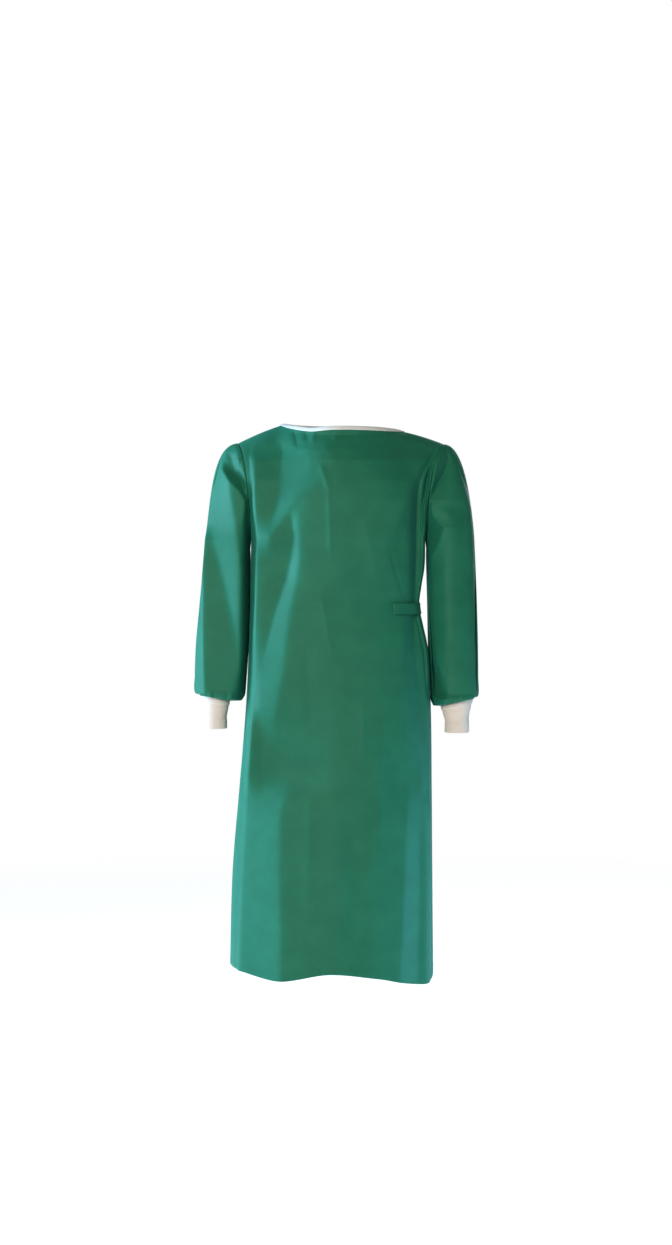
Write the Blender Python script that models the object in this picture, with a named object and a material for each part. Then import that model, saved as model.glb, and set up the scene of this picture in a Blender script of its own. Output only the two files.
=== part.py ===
"""Surgical gown in the hollow form it has when it is worn.

Every cut piece is a closed wall of cloth. +Z is up, the front faces -Y and the wearer's left is +X.
The origin is the middle of the neck opening, level with the wearer's shoulders.
Sizes are in millimetres, and the meshes are made in metres.
"""

from collections import namedtuple

import bmesh
import bpy
import numpy as np
from mathutils.bvhtree import BVHTree

MM = 0.001

WALL = 1.5
SEAM_GAP = 0.3
KNIT_WALL = 2.0

# Rows and columns of the meshes
FRONT_COLUMNS = 34
BACK_COLUMNS = 19
CORNER_CROWDING = 0.32
ARMHOLE_ROWS = 14
CUFF_POINTS = 60
CUFF_ROWS = 4

# Body below the armholes. Each row is a level cut: its reach to either side, forward and back, and
# how square it is, from 2 for an ellipse.
Level = namedtuple("Level", "z left right front back square")
BODY = (
    Level(-1100, -222, 184, 164, 153, 2.35),
    Level(-870, -215, 182, 156, 147, 2.40),
    Level(-730, -203, 181, 150, 140, 2.50),
    Level(-540, -188, 178, 139, 126, 2.75),
    Level(-440, -183.5, 172, 130, 114, 2.95),
    Level(-400, -182, 163, 126, 108, 3.00),
    Level(-362, -181, 156, 123, 104, 3.00),
    Level(-326, -180.5, 160, 124, 107, 3.00),
    Level(-290, -180, 166, 126, 111, 2.95),
    Level(-230, -179, 168, 129, 118, 2.75),
)
ARMPIT_Z = -230

# Heights of the mesh rows below the armpits. A pair of rows runs along the edges of the waist ties,
# and the last one is the mean of the lower edge.
TIE_Z = -365
TIE_WIDTH = 21.0
SKIRT_LEVELS = (
    -252, -288, -322, TIE_Z + TIE_WIDTH / 2, TIE_Z - TIE_WIDTH / 2,
    -408, -460, -530, -610, -700, -795, -890, -985, -1083,
)

# Lower edge all round: 0 degrees is the middle of the front, 90 the wearer's left side, 180 the back
Hem = namedtuple("Hem", "angle z")
HEM = (
    Hem(-180, -1090),
    Hem(-130, -1084),
    Hem(-90, -1073),
    Hem(-62, -1075),
    Hem(-36, -1085),
    Hem(0, -1070),
    Hem(30, -1080),
    Hem(62, -1100),
    Hem(78, -1097),
    Hem(92, -1082),
    Hem(135, -1084),
    Hem(180, -1090),
)

# Neck opening and shoulders. The neck points lie at half way from the middle to the side.
NECK_ANGLE = 45
NECK_ARC = np.radians(62)
NECK_DROP = 1.3
NECK_RIGHT = np.array((-114.0, 4.0, 0.0))
NECK_LEFT = np.array((118.0, 4.0, -13.0))
TIP_RIGHT = np.array((-207.0, 6.0, -38.0))
TIP_LEFT = np.array((208.0, 6.0, -40.0))
SHOULDER_RISE = 2.0
NECK_FRONT = (-86, -14)
NECK_BACK = (70, 2)
# The front edge sags a little to the wearer's right of its middle: place, width and depth
NECK_SAG = (-56, 24, 3.0)

# Cloth between the top edge and the armpit line is a cubic curve for each column. A row says how
# that curve leaves the edge (out, forward, up) and how it meets the armpit line (out, forward, up).
Fall = namedtuple("Fall", "angle out forward up end_out end_forward end_up")
FRONT_FALL = (
    Fall(0, 0, 34, -38, 0, 0, 90),
    Fall(18, 8, 33, -36, 0, 0, 88),
    Fall(30, 16, 34, -31, 0, 1, 86),
    Fall(38, 23, 38, -25, 0, 2, 83),
    Fall(45, 26, 44, -17, 0, 4, 80),
    Fall(55, 16, 58, -13, 0, 14, 75),
    Fall(63, 6, 66, -11, 1, 24, 70),
    Fall(78, -8, 78, -13, 1, 58, 58),
    Fall(90, -18, 86, -16, 1, 80, 52),
)
BACK_FALL = (
    Fall(0, 0, 28, -32, 0, 4, 95),
    Fall(18, 7, 27, -30, 0, 4, 94),
    Fall(30, 14, 29, -24, 0, 4, 92),
    Fall(38, 20, 34, -17, 0, 5, 89),
    Fall(45, 24, 42, -12, 0, 6, 86),
    Fall(55, 15, 54, -10, 0, 14, 80),
    Fall(63, 6, 61, -9, 1, 24, 72),
    Fall(78, -8, 74, -12, 1, 54, 58),
    Fall(90, -18, 82, -18, 1, 76, 50),
)
# The armhole of the wearer's left side is drawn further in
LEFT_PULL = 1.7

# Folds that hang in the body's cloth: a ridge has a height, a trough a negative one. Each runs from
# one height and angle to another and is as wide to the left and right as the row says.
Fold = namedtuple("Fold", "top bottom angle_top angle_bottom left right height")
FRONT_FOLDS = (
    Fold(-40, -235, -27, -47, 34, 30, 5.0),
    Fold(-205, -620, -29, -55, 26, 60, 7.0),
    Fold(-640, -1200, -38, -35, 60, 64, 9.0),
    Fold(-700, -1200, -64, -60, 34, 36, -7.0),
    Fold(-70, -350, 58, 56, 17, 14, -8.0),
    Fold(-235, -356, 40, 51, 15, 15, -5.0),
    Fold(-374, -560, 50, 42, 17, 20, -5.0),
    Fold(-390, -600, 69, 68, 18, 20, 8.0),
    Fold(-660, -1200, 46, 47, 22, 16, -6.0),
    Fold(-620, -1200, 60, 61, 17, 26, 9.0),
    Fold(-150, -600, -66, -66, 18, 22, 11.0),
    Fold(-330, -900, 4, 8, 30, 34, 2.5),
)
BACK_FOLDS = (
    Fold(-60, -330, 150, 146, 28, 34, 5.0),
    Fold(-60, -330, 206, 212, 34, 28, 5.0),
    Fold(-110, -352, 238, 222, 24, 22, -6.0),
    Fold(-110, -352, 122, 134, 22, 24, -5.0),
    Fold(-374, -1200, 236, 238, 40, 44, 8.0),
    Fold(-378, -1200, 204, 208, 40, 34, -6.0),
    Fold(-372, -1200, 176, 172, 34, 44, 7.0),
    Fold(-372, -1200, 112, 108, 34, 30, 6.0),
)

MM_PER_DEGREE = 2.9
SEAM_EASE = 14

# The back panels lap: the outer one ends at these angles past the middle of the back, towards the
# wearer's left, and the inner one as far to the other side.
Lap = namedtuple("Lap", "z outer inner")
LAP = (
    Lap(-1100, 42, 44),
    Lap(-600, 43, 45),
    Lap(-230, 38, 42),
    Lap(-60, 18, 20),
    Lap(10, 15, 16),
)
UNDERLAP = 5.0
UNDERLAP_EASE = 26

# Sleeves below the armhole: outer and inner reach along X, fore-and-aft middle and half depth.
Ring = namedtuple("Ring", "z outer inner middle depth")
SLEEVE_RIGHT = (
    Ring(-560, -288, -199, -9, 62),
    Ring(-520, -291, -195, -9, 68),
    Ring(-456, -290, -188, -8, 74),
    Ring(-360, -282, -184, -5, 76),
    Ring(-270, -274, -182.5, 0, 75),
)
SLEEVE_LEFT = (
    Ring(-570, 270, 184, -9, 60),
    Ring(-520, 273, 182.5, -9, 66),
    Ring(-456, 273, 178, -8, 72),
    Ring(-360, 271, 174, -5, 76),
    Ring(-270, 268, 171.5, 0, 75),
)
SLEEVE_TOP_Z = -270
SLEEVE_ROWS = (-292, -320, -352, -384, -416, -448, -478, -504)
SLEEVE_CROWN_ROWS = 6
SLEEVE_SQUARE = 2.2
SLEEVE_GIRTH = 400

# How the sleeve leaves the armhole (out, forward, up) and meets its first level ring (up). The turn
# runs from 0 at the armpit, by the front at a quarter and the shoulder tip at a half, to 1.
Crown = namedtuple("Crown", "turn out forward up end_up")
CROWN = (
    Crown(0.00, 1.5, 0, -12, 12),
    Crown(0.25, 24, 12, -24, 75),
    Crown(0.50, 50, 0, -4, 130),
    Crown(0.75, 24, -12, -24, 75),
    Crown(1.00, 1.5, 0, -12, 12),
)
# How full each sleeve head stands out
PUFF_RIGHT = 1.0
PUFF_LEFT = 0.74

# Creases of a sleeve: where each starts and ends in height and turn
SLEEVE_RIGHT_FOLDS = (
    Fold(-120, -470, 0.43, 0.30, 26, 30, 6.0),
    Fold(-70, -200, 0.40, 0.22, 16, 22, -5.0),
    Fold(-300, -560, 0.20, 0.16, 22, 26, 4.0),
    Fold(-200, -500, 0.72, 0.62, 24, 30, 5.0),
    Fold(-330, -560, 0.86, 0.80, 22, 24, -4.0),
)
SLEEVE_LEFT_FOLDS = (
    Fold(-60, -230, 0.36, 0.17, 14, 20, -7.0),
    Fold(-90, -300, 0.40, 0.26, 22, 24, 5.0),
    Fold(-250, -560, 0.22, 0.28, 26, 28, 4.0),
    Fold(-200, -500, 0.72, 0.64, 24, 30, 5.0),
    Fold(-330, -560, 0.86, 0.80, 22, 24, -4.0),
)

# The sleeve turns in over the cuff: height above its lowest level and the share of the way from
# the sleeve's own ring to the cuff's
Turn = namedtuple("Turn", "rise share gather")
SLEEVE_TURN = (Turn(22, 0.02, 0.6), Turn(8, 0.06, 1.0), Turn(0.6, 0.22, 1.0), Turn(0, 0.62, 0.4), Turn(0, 1, 0))
GATHERS = 7
GATHER_DEPTH = 2.6

# Knit cuffs: middle along X and Y, and half width and depth at the sleeve and at the wrist
Cuff = namedtuple("Cuff", "z tilt x y top_width top_depth wrist_width wrist_depth")
CUFF_RIGHT = Cuff(-546, 7, -249, -10, 27, 35, 21.5, 30.5)
CUFF_LEFT = Cuff(-554, 9, 231, -10, 32, 36, 24, 31)
CUFF_LENGTH = 62
RIB_HEIGHT = 0.7
CUFF_OVERLAP = 1.2

# Neck binding: a tape folded over the edge, with this much room for the cloth in its fold, and more
# within a reach of the neck points, where it turns
BINDING_WIDTH = 9.0
BINDING_WALL = 0.9
BINDING_TURN_IN = 5.0
BINDING_ROOM = 0.5
BINDING_TURN_ROOM = 0.6
BINDING_TURN_REACH = 22.0
# Where the tape turns a neck point, as shares of the way to the columns before and after it
BINDING_TURN = (-0.3, 0.3)

# Patch that closes the neck between the two back panels, below the binding
PATCH_ANGLES = (-7, 7)
PATCH_REACH = (15, 36)
PATCH_DEPTH = (2.2, 4.3)

# Waist ties, and the knot that joins them behind the wearer's left side
TIE_WALL = 1.2
TIE_LIFT = 0.8
TIE_FRONT_START = 51
TIE_BACK_START = 153
TIE_STEP = 2.5
KNOT_ANGLE = 125
KNOT_HALF = (13.0, 7.0, 13.5)
KNOT_SQUARE = 3.2
KNOT_POINTS = 16
KNOT_RINGS = 9
# The ties and their free ends rise to the knot's middle over this many degrees and millimetres
KNOT_RISE = 5.2
KNOT_RISE_ANGLE = 8
KNOT_RISE_LENGTH = 36
# Drop from the knot's lowest point to where the free ends start under it
KNOT_CLEAR = 1.1
# Gap between the knot and the ties that go into its sides
KNOT_SIDE_GAP = 0.6

# Free ends of the ties: length, angle of the middle at the knot and at the lower end, and lift
FreeEnd = namedtuple("FreeEnd", "name length angle_top angle_end lift lift_end")
FREE_ENDS = (
    FreeEnd("tie_end_long", 250, 124, 119.5, 0.8, 1.4),
    FreeEnd("tie_end_short", 205, 126, 132, 3.1, 2.8),
)
END_ROWS = 11
END_CROWDING = 1.4

COLORS = {
    "cloth": ((0.028, 0.170, 0.120, 1), 0.62),
    "knit": ((0.80, 0.81, 0.80, 1), 0.85),
    "binding": ((0.66, 0.76, 0.80, 1), 0.80),
    "closure": ((0.75, 0.75, 0.73, 1), 0.90),
}


def smooth(at, knots, values):
    """Cubic curve through the knots, with slopes taken from the neighbouring knots, read at each place."""
    at = np.clip(np.asarray(at, float), knots[0], knots[-1])
    knots = np.asarray(knots, float)
    values = np.asarray(values, float)
    slopes = np.gradient(values, knots)
    index = np.clip(np.searchsorted(knots, at, side="right") - 1, 0, len(knots) - 2)
    span = knots[index + 1] - knots[index]
    t = (at - knots[index]) / span
    start = (1 + 2 * t) * (1 - t) ** 2 * values[index] + t * (1 - t) ** 2 * span * slopes[index]
    end = t * t * (3 - 2 * t) * values[index + 1] - t * t * (1 - t) * span * slopes[index + 1]
    return start + end


def column(rows, name):
    """One named column of a table."""
    return np.array([getattr(row, name) for row in rows], float)


def read(rows, key, name, at):
    """A named column of a table, read smoothly along its key column."""
    return smooth(at, column(rows, key), column(rows, name))


def ease(t):
    """Rises smoothly from 0 to 1."""
    t = np.clip(t, 0, 1)
    return t * t * (3 - 2 * t)


def superellipse(turn, width, depth, square):
    """Sine and cosine sides of a rounded outline at an angle in radians."""
    along = np.abs(np.sin(turn) / width) ** square + np.abs(np.cos(turn) / depth) ** square
    reach = along ** (-1 / square)
    return reach * np.sin(turn), reach * np.cos(turn)


def body(angle, z):
    """Plain body at an angle in degrees from the middle of the front, and a height below the armpits."""
    left = read(BODY, "z", "left", z)
    right = read(BODY, "z", "right", z)
    turn = np.radians(angle)
    depth = np.where(np.cos(turn) > 0, read(BODY, "z", "front", z), read(BODY, "z", "back", z))
    across, forward = superellipse(turn, (right - left) / 2, depth, read(BODY, "z", "square", z))
    return np.stack(((left + right) / 2 + across, -forward, z + 0 * across), -1)


def neckline(angle, front):
    """Neck edge from one neck point to the other, as a flat arc that drops to its middle."""
    turn = angle / NECK_ANGLE * NECK_ARC
    across = np.sin(turn) / np.sin(NECK_ARC)
    reach = np.clip((np.cos(turn) - np.cos(NECK_ARC)) / (1 - np.cos(NECK_ARC)), 0, 1)
    drop = 1 - (1 - reach) ** NECK_DROP
    line = (NECK_RIGHT + NECK_LEFT) / 2 + (NECK_LEFT - NECK_RIGHT) / 2 * across[..., None]
    y, z = NECK_FRONT if front else NECK_BACK
    line[..., 1] += (y - line[..., 1]) * reach
    line[..., 2] += (z - line[..., 2]) * drop
    if front:
        at, width, depth = NECK_SAG
        line[..., 2] -= depth * np.exp(-(((line[..., 0] - at) / width) ** 2))
    return line


def shoulder(angle):
    """Shoulder seam from the neck point to the tip, on the side that the angle's sign gives."""
    share = ((np.abs(angle) - NECK_ANGLE) / (90 - NECK_ANGLE))[..., None]
    left = (angle > 0)[..., None]
    neck = np.where(left, NECK_LEFT, NECK_RIGHT)
    tip = np.where(left, TIP_LEFT, TIP_RIGHT)
    line = neck + (tip - neck) * share
    line[..., 2] += SHOULDER_RISE * np.sin(np.pi * share[..., 0])
    return line


def top_edge(angle, front):
    """Top edge of a panel: neck edge between the neck points, shoulder seam beyond them."""
    near = np.clip(angle, -NECK_ANGLE, NECK_ANGLE)
    far = np.where(np.abs(angle) < NECK_ANGLE, np.copysign(NECK_ANGLE, angle), angle)
    inside = (np.abs(angle) <= NECK_ANGLE)[..., None]
    return np.where(inside, neckline(near, front), shoulder(far))


def yoke(angle, t, front):
    """Cloth from the top edge (t = 0) to the armpit line (t = 1): a cubic curve for each column."""
    falls = FRONT_FALL if front else BACK_FALL
    way = -1 if front else 1
    whole = angle if front else 180 - angle
    size = np.abs(angle)
    side = np.sign(angle)

    def lead(names):
        out, forward, up = (read(falls, "angle", name, size) for name in names)
        pull = np.where(side * out > 0, 1, np.where(side > 0, LEFT_PULL, 1))
        return np.stack((side * out * pull, way * forward, up), -1)

    top = top_edge(angle, front)
    end = body(whole, ARMPIT_Z + 0 * angle)
    below = body(whole, ARMPIT_Z - 8 + 0 * angle)
    rise = (end - below) / 8
    leave = top + lead(("out", "forward", "up"))
    end_lead = lead(("end_out", "end_forward", "end_up"))
    arrive = end + end_lead * (1, 1, 0) + rise * end_lead[..., 2:]
    t = t[..., None]
    return (1 - t) ** 3 * top + 3 * t * (1 - t) ** 2 * leave + 3 * t * t * (1 - t) * arrive + t**3 * end


def fold_height(rows, angle, z, girth):
    """Sum of the folds at an angle and height: a rounded tent across each, fading out at its ends."""
    total = np.zeros(np.broadcast(angle, z).shape)
    for row in rows:
        along = (row.top - z) / (row.top - row.bottom)
        middle = row.angle_top + (row.angle_bottom - row.angle_top) * along
        offset = (angle - middle) * girth
        width = np.where(offset < 0, row.left, row.right)
        shape = np.exp(-np.sqrt((offset / width) ** 2 * 2.2 + 0.09) + 0.3)
        total += row.height * shape * ease(along / 0.22) * ease((1 - along) / 0.22)
    return total


def drape(angle, z):
    """Height of the folds all round the body, none of them on its side seams."""
    around = wrap_angle(angle)
    front = fold_height(FRONT_FOLDS, around, z, MM_PER_DEGREE)
    back = fold_height(BACK_FOLDS, around % 360, z, MM_PER_DEGREE)
    seam = ease(np.abs(np.abs(around) - 90) / SEAM_EASE)
    return np.where(np.abs(around) < 90, front, back) * seam


def wrap_angle(angle):
    """The same angle between -180 and 180 degrees."""
    return (np.asarray(angle, float) + 180) % 360 - 180


def hem_z(angle):
    """Height of the lower edge."""
    return read(HEM, "angle", "z", wrap_angle(angle))


def normals(grid, wrap=False):
    """Unit normals of a grid of points, from the differences between neighbours."""
    if wrap:
        padded = np.concatenate((grid[:, -1:], grid, grid[:, :1]), 1)
        across = (padded[:, 2:] - padded[:, :-2]) / 2
    else:
        across = np.gradient(grid, axis=1)
    down = np.gradient(grid, axis=0)
    normal = np.cross(across, down)
    return normal / np.linalg.norm(normal, axis=-1, keepdims=True)


def skirt_z(angle):
    """Heights of the mesh rows below the armpits at each angle: level about the waist, along the hem below."""
    level = np.array(SKIRT_LEVELS)[:, None]
    share = (level - ARMPIT_Z) / (level[-1] - ARMPIT_Z)
    return level + (hem_z(angle) - level[-1]) * share**2


def panel(angles, front):
    """Outer points and normals of a body panel at its columns' angles from its own middle.

    angles has a row for each mesh row, so that a panel's edge can slant."""
    whole = angles if front else 180 - angles
    steps = np.linspace(0, 1, ARMHOLE_ROWS + 1)
    upper = yoke(angles[: ARMHOLE_ROWS + 1], steps[:, None] + 0 * angles[: ARMHOLE_ROWS + 1], front)
    below = whole[ARMHOLE_ROWS + 1 :]
    grid = np.concatenate((upper, body(below, skirt_z(below))))
    normal = normals(grid) * (-1 if front else 1)
    return grid + normal * drape(whole, grid[..., 2])[..., None], normal


def row_heights():
    """Height of each mesh row at the middle of the back, roughly, for the slant of the laps."""
    return np.concatenate((np.linspace(0, ARMPIT_Z, ARMHOLE_ROWS + 1), SKIRT_LEVELS))


def front_angles():
    """Columns of the front, closer together where the body turns its corners."""
    even = np.linspace(-1, 1, FRONT_COLUMNS + 1)
    spread = 90 * (even + CORNER_CROWDING * np.sin(2 * np.pi * even) / (2 * np.pi))
    nearest = np.argmin(np.abs(spread - NECK_ANGLE))
    spread[nearest] = NECK_ANGLE
    spread[FRONT_COLUMNS - nearest] = -NECK_ANGLE
    return np.tile(spread, (ARMHOLE_ROWS + 1 + len(SKIRT_LEVELS), 1))


def back_angles(outer):
    """Columns of a back panel, from the wearer's right to left: its shoulder has the front's columns,
    and the rest reach to its lapped edge, which slants near the neck."""
    reach = read(LAP, "z", "outer" if outer else "inner", row_heights())[:, None]
    shared = front_angles()
    shared = shared[:, shared[0] >= NECK_ANGLE][:, ::-1]
    rest = np.linspace(0, 1, BACK_COLUMNS - shared.shape[1] + 2)[1:]
    angles = np.concatenate((shared, NECK_ANGLE - (reach + NECK_ANGLE) * rest), 1)
    return -angles if outer else angles[:, ::-1]


def underlap(angles, z):
    """How far the inner back panel lies under the outer one: nothing at its seam, all of it near its edge."""
    reach = read(LAP, "z", "outer", z)
    return UNDERLAP * ease((reach + UNDERLAP_EASE - angles) / UNDERLAP_EASE)


def triangles(rows, columns, wrap):
    """Two triangles for each cell of a grid, all split the same way."""
    last = columns if wrap else columns - 1
    row, col = np.meshgrid(np.arange(rows - 1), np.arange(last), indexing="ij")
    a = row * columns + col
    b = row * columns + (col + 1) % columns
    c = a + columns
    d = b + columns
    return np.concatenate((np.stack((a, b, d), -1).reshape(-1, 3), np.stack((a, d, c), -1).reshape(-1, 3)))


def rim(count, columns, wrap):
    """Order of the grid's border points: the whole border, or the two ends of a tube."""
    rows = count // columns
    top = np.arange(columns)
    bottom = top + (rows - 1) * columns
    if wrap:
        return [np.append(top, top[0]), np.append(bottom, bottom[0])]
    right = np.arange(rows) * columns + columns - 1
    left = np.arange(rows) * columns
    return [np.concatenate((top, right[1:], bottom[::-1][1:], left[::-1][1:]))]


def material(name):
    """Plain finish of one kind of cloth."""
    found = bpy.data.materials.get(name) or bpy.data.materials.new(name)
    found.use_nodes = True
    color, roughness = COLORS[name]
    shader = found.node_tree.nodes["Principled BSDF"]
    shader.inputs["Base Color"].default_value = color
    shader.inputs["Roughness"].default_value = roughness
    shader.inputs["Metallic"].default_value = 0
    return found


def solid(name, points, faces, cloth):
    """Makes one object from points in millimetres and triangles, with its faces turned outwards."""
    mesh = bpy.data.meshes.new(name)
    mesh.from_pydata((points * MM).tolist(), [], faces.tolist())
    shape = bmesh.new()
    shape.from_mesh(mesh)
    bmesh.ops.recalc_face_normals(shape, faces=shape.faces)
    shape.to_mesh(mesh)
    shape.free()
    mesh.shade_smooth()
    mesh.set_sharp_from_angle(angle=np.radians(50))
    mesh.materials.append(material(cloth))
    piece = bpy.data.objects.new(name, mesh)
    bpy.context.scene.collection.objects.link(piece)
    return piece


def wall(name, outer, inner, cloth="cloth", wrap=False):
    """Closed wall between two grids of points that lie over each other."""
    rows, columns = outer.shape[:2]
    count = rows * columns
    face = triangles(rows, columns, wrap)
    faces = [face, face[:, ::-1] + count]
    for border in rim(count, columns, wrap):
        a, b = border[:-1], border[1:]
        faces.append(np.stack((a, b, b + count), -1))
        faces.append(np.stack((a, b + count, a + count), -1))
    points = np.concatenate((outer.reshape(-1, 3), inner.reshape(-1, 3)))
    return solid(name, points, np.concatenate(faces), cloth)


def share_normals(one, other):
    """The same direction for both sides of a seam."""
    both = one + other
    both /= np.linalg.norm(both, axis=-1, keepdims=True)
    return both


def make_body():
    """Front and two back panels, parted by a small gap at the shoulder and side seams."""
    front_at = front_angles()
    right_at = back_angles(outer=True)
    left_at = back_angles(outer=False)
    front, front_n = panel(front_at, front=True)
    right, right_n = panel(right_at, front=False)
    left, left_n = panel(left_at, front=False)
    left -= left_n * underlap(left_at, row_heights()[:, None])[..., None]

    front_n[:, 0] = right_n[:, 0] = share_normals(front_n[:, 0], right_n[:, 0])
    front_n[:, -1] = left_n[:, -1] = share_normals(front_n[:, -1], left_n[:, -1])
    front[:, (0, -1), 1] -= SEAM_GAP / 2
    right[:, 0, 1] += SEAM_GAP / 2
    left[:, -1, 1] += SEAM_GAP / 2
    seam_right = front_at[0] <= -NECK_ANGLE
    seam_left = front_at[0] >= NECK_ANGLE
    for seam, other, other_n, part in (
        (seam_right, right, right_n, slice(0, seam_right.sum())),
        (seam_left, left, left_n, slice(-seam_left.sum(), None)),
    ):
        both = share_normals(front_n[0, seam], other_n[0, part])
        front_n[0, seam] = both
        other_n[0, part] = both
        front[0, seam, 1] -= SEAM_GAP / 2
        other[0, part, 1] += SEAM_GAP / 2
    wall("front", front, front - front_n * WALL)
    wall("back_right", right, right - right_n * WALL)
    wall("back_left", left, left - left_n * WALL)
    return (front, front_n), (right, right_n), (left, left_n)


def sleeve_ring(rows, turn, z):
    """Level outline of a sleeve: turn 0 is the side towards the body, a quarter is the front."""
    outer = read(rows, "z", "outer", z)
    inner = read(rows, "z", "inner", z)
    depth = read(rows, "z", "depth", z)
    forward, inward = superellipse(2 * np.pi * turn, depth, np.abs(outer - inner) / 2, SLEEVE_SQUARE)
    x = (outer + inner) / 2 - np.sign(outer) * inward
    return np.stack((x, read(rows, "z", "middle", z) - forward, z + 0 * x), -1)


def cuff_ring(cuff, turn, share, extra=0.0):
    """Outline of a cuff, from the sleeve (share 0) to the wrist (share 1)."""
    width = cuff.top_width + (cuff.wrist_width - cuff.top_width) * ease(share / 0.55) + extra
    depth = cuff.top_depth + (cuff.wrist_depth - cuff.top_depth) * ease(share / 0.55) + extra
    x = cuff.x - np.sign(cuff.x) * width * np.cos(2 * np.pi * turn)
    y = cuff.y - depth * np.sin(2 * np.pi * turn)
    top = cuff_level(cuff, turn) - SEAM_GAP
    return np.stack((x, y, top + (cuff.z - CUFF_LENGTH - top) * share), -1)


def cuff_level(cuff, turn):
    """Height of the seam between sleeve and cuff, lower on the side towards the body."""
    return cuff.z - cuff.tilt * np.cos(2 * np.pi * turn)


def armhole(front_panel, back_panel, edge):
    """Points and normals round an armhole: up the front edge from the armpit, then down the back edge."""
    loops = []
    for front, back in zip(front_panel, back_panel):
        up = front[ARMHOLE_ROWS::-1, edge]
        down = back[: ARMHOLE_ROWS + 1, edge]
        ends = (up[0] + down[-1]) / 2, (up[-1] + down[0]) / 2
        loops.append(np.concatenate((ends[:1], up[1:-1], ends[1:], down[1:-1])))
    return loops


def make_sleeve(name, loop, rows, folds, cuff, puff):
    """Sleeve from the armhole down to where its gathered end turns in over the cuff."""
    hole, hole_n = loop
    side = np.sign(cuff.x)
    turn = np.arange(len(hole)) / len(hole)
    start = hole + np.array((side * SEAM_GAP, 0, 0))
    out, forward, up, end_up = (read(CROWN, "turn", field, turn) for field in Crown._fields[1:])
    end = sleeve_ring(rows, turn, SLEEVE_TOP_Z + 0 * turn)
    rise = (end - sleeve_ring(rows, turn, SLEEVE_TOP_Z - 8 + 0 * turn)) / 8
    leave = start + np.stack((side * out * puff, -forward, up), -1)
    arrive = end + rise * end_up[:, None]
    t = np.linspace(0, 1, SLEEVE_CROWN_ROWS + 1)[:, None, None]
    crown = (1 - t) ** 3 * start + 3 * t * (1 - t) ** 2 * leave + 3 * t * t * (1 - t) * arrive + t**3 * end
    tube = [sleeve_ring(rows, turn, z + 0 * turn) for z in SLEEVE_ROWS]
    ends = []
    for row in SLEEVE_TURN:
        level = cuff_level(cuff, turn) + row.rise
        full = sleeve_ring(rows, turn, level)
        narrow = cuff_ring(cuff, turn, 0, -CUFF_OVERLAP)
        middle = full.mean(0)
        gather = row.gather * GATHER_DEPTH * np.sin(2 * np.pi * GATHERS * turn + np.sin(4 * np.pi * turn))
        spoke = (full - middle) * (1, 1, 0)
        spoke /= np.linalg.norm(spoke, axis=-1, keepdims=True)
        ring = full + (narrow - full) * row.share + spoke * gather[:, None]
        ring[:, 2] = level
        ends.append(ring)
    grid = np.concatenate((crown, tube, ends))
    normal = -side * normals(grid, wrap=True)
    crease = fold_height(folds, turn, grid[..., 2], SLEEVE_GIRTH)
    crease *= ease(np.arange(len(grid)) / 3)[:, None] * (grid[..., 2] > cuff.z + 12)
    grid = grid + normal * crease[..., None]
    towards = np.array((-side, 0, 0))
    clash = ((normal[0] - hole_n) @ towards < 0)[:, None]
    normal[0] = np.where(clash, hole_n, normal[0])
    wall(name, grid, grid - normal * WALL, wrap=True)


def make_cuff(name, cuff):
    """Ribbed knit tube: ribs are raised on its outside, over a plain inside."""
    turn = np.arange(CUFF_POINTS) / CUFF_POINTS
    rib = RIB_HEIGHT * (np.arange(CUFF_POINTS) % 2)
    shares = np.linspace(0, 1, CUFF_ROWS + 1)
    outer = np.array([cuff_ring(cuff, turn, share, rib) for share in shares])
    inner = np.array([cuff_ring(cuff, turn, share, -KNIT_WALL) for share in shares])
    wall(name, outer, inner, "knit", wrap=True)


def down_from_edge(angles, distances, front):
    """Points of a panel at distances below its top edge, a row for each distance."""
    t = np.linspace(0, 0.5, 41)
    line = yoke(angles + 0 * t[:, None], t[:, None] + 0 * angles, front)
    steps = np.linalg.norm(np.diff(line, axis=0), axis=-1)
    length = np.concatenate((np.zeros((1, len(angles))), np.cumsum(steps, axis=0)))
    return np.array(
        [[[np.interp(d, length[:, k], line[:, k, i]) for i in range(3)] for k in range(len(angles))] for d in distances]
    )


def neck_edge():
    """Points and normals of the neck edge: from the outer back panel's end, by the front, to the inner one's.
    Each neck point has a point more just before and after it."""
    back, front = BACK_ANGLES_RIGHT >= -NECK_ANGLE, np.abs(FRONT_ANGLES) < NECK_ANGLE
    under = BACK_ANGLES_LEFT <= NECK_ANGLE
    first = back.sum() - 1
    last = first + front.sum() + 1
    at = np.concatenate([np.arange(last + under.sum())] + [point + np.array(BINDING_TURN) for point in (first, last)])
    at.sort()
    lines = []
    for right, middle, left in zip(BACK_RIGHT, FRONT, BACK_LEFT):
        line = np.concatenate((right[0, back][::-1], middle[0, front], left[0, under][::-1]))
        lines.append(np.stack([np.interp(at, np.arange(len(line)), values) for values in line.T], -1))
    return lines


def cloth_tree():
    """Outer faces of the three body panels, for finding the nearest point on them."""
    points, faces, count = [], [], 0
    for grid, _ in (FRONT, BACK_RIGHT, BACK_LEFT):
        rows, columns = grid.shape[:2]
        points.append(grid.reshape(-1, 3))
        faces.append(triangles(rows, columns, False) + count)
        count += rows * columns
    return BVHTree.FromPolygons(np.concatenate(points).tolist(), np.concatenate(faces).tolist())


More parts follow.
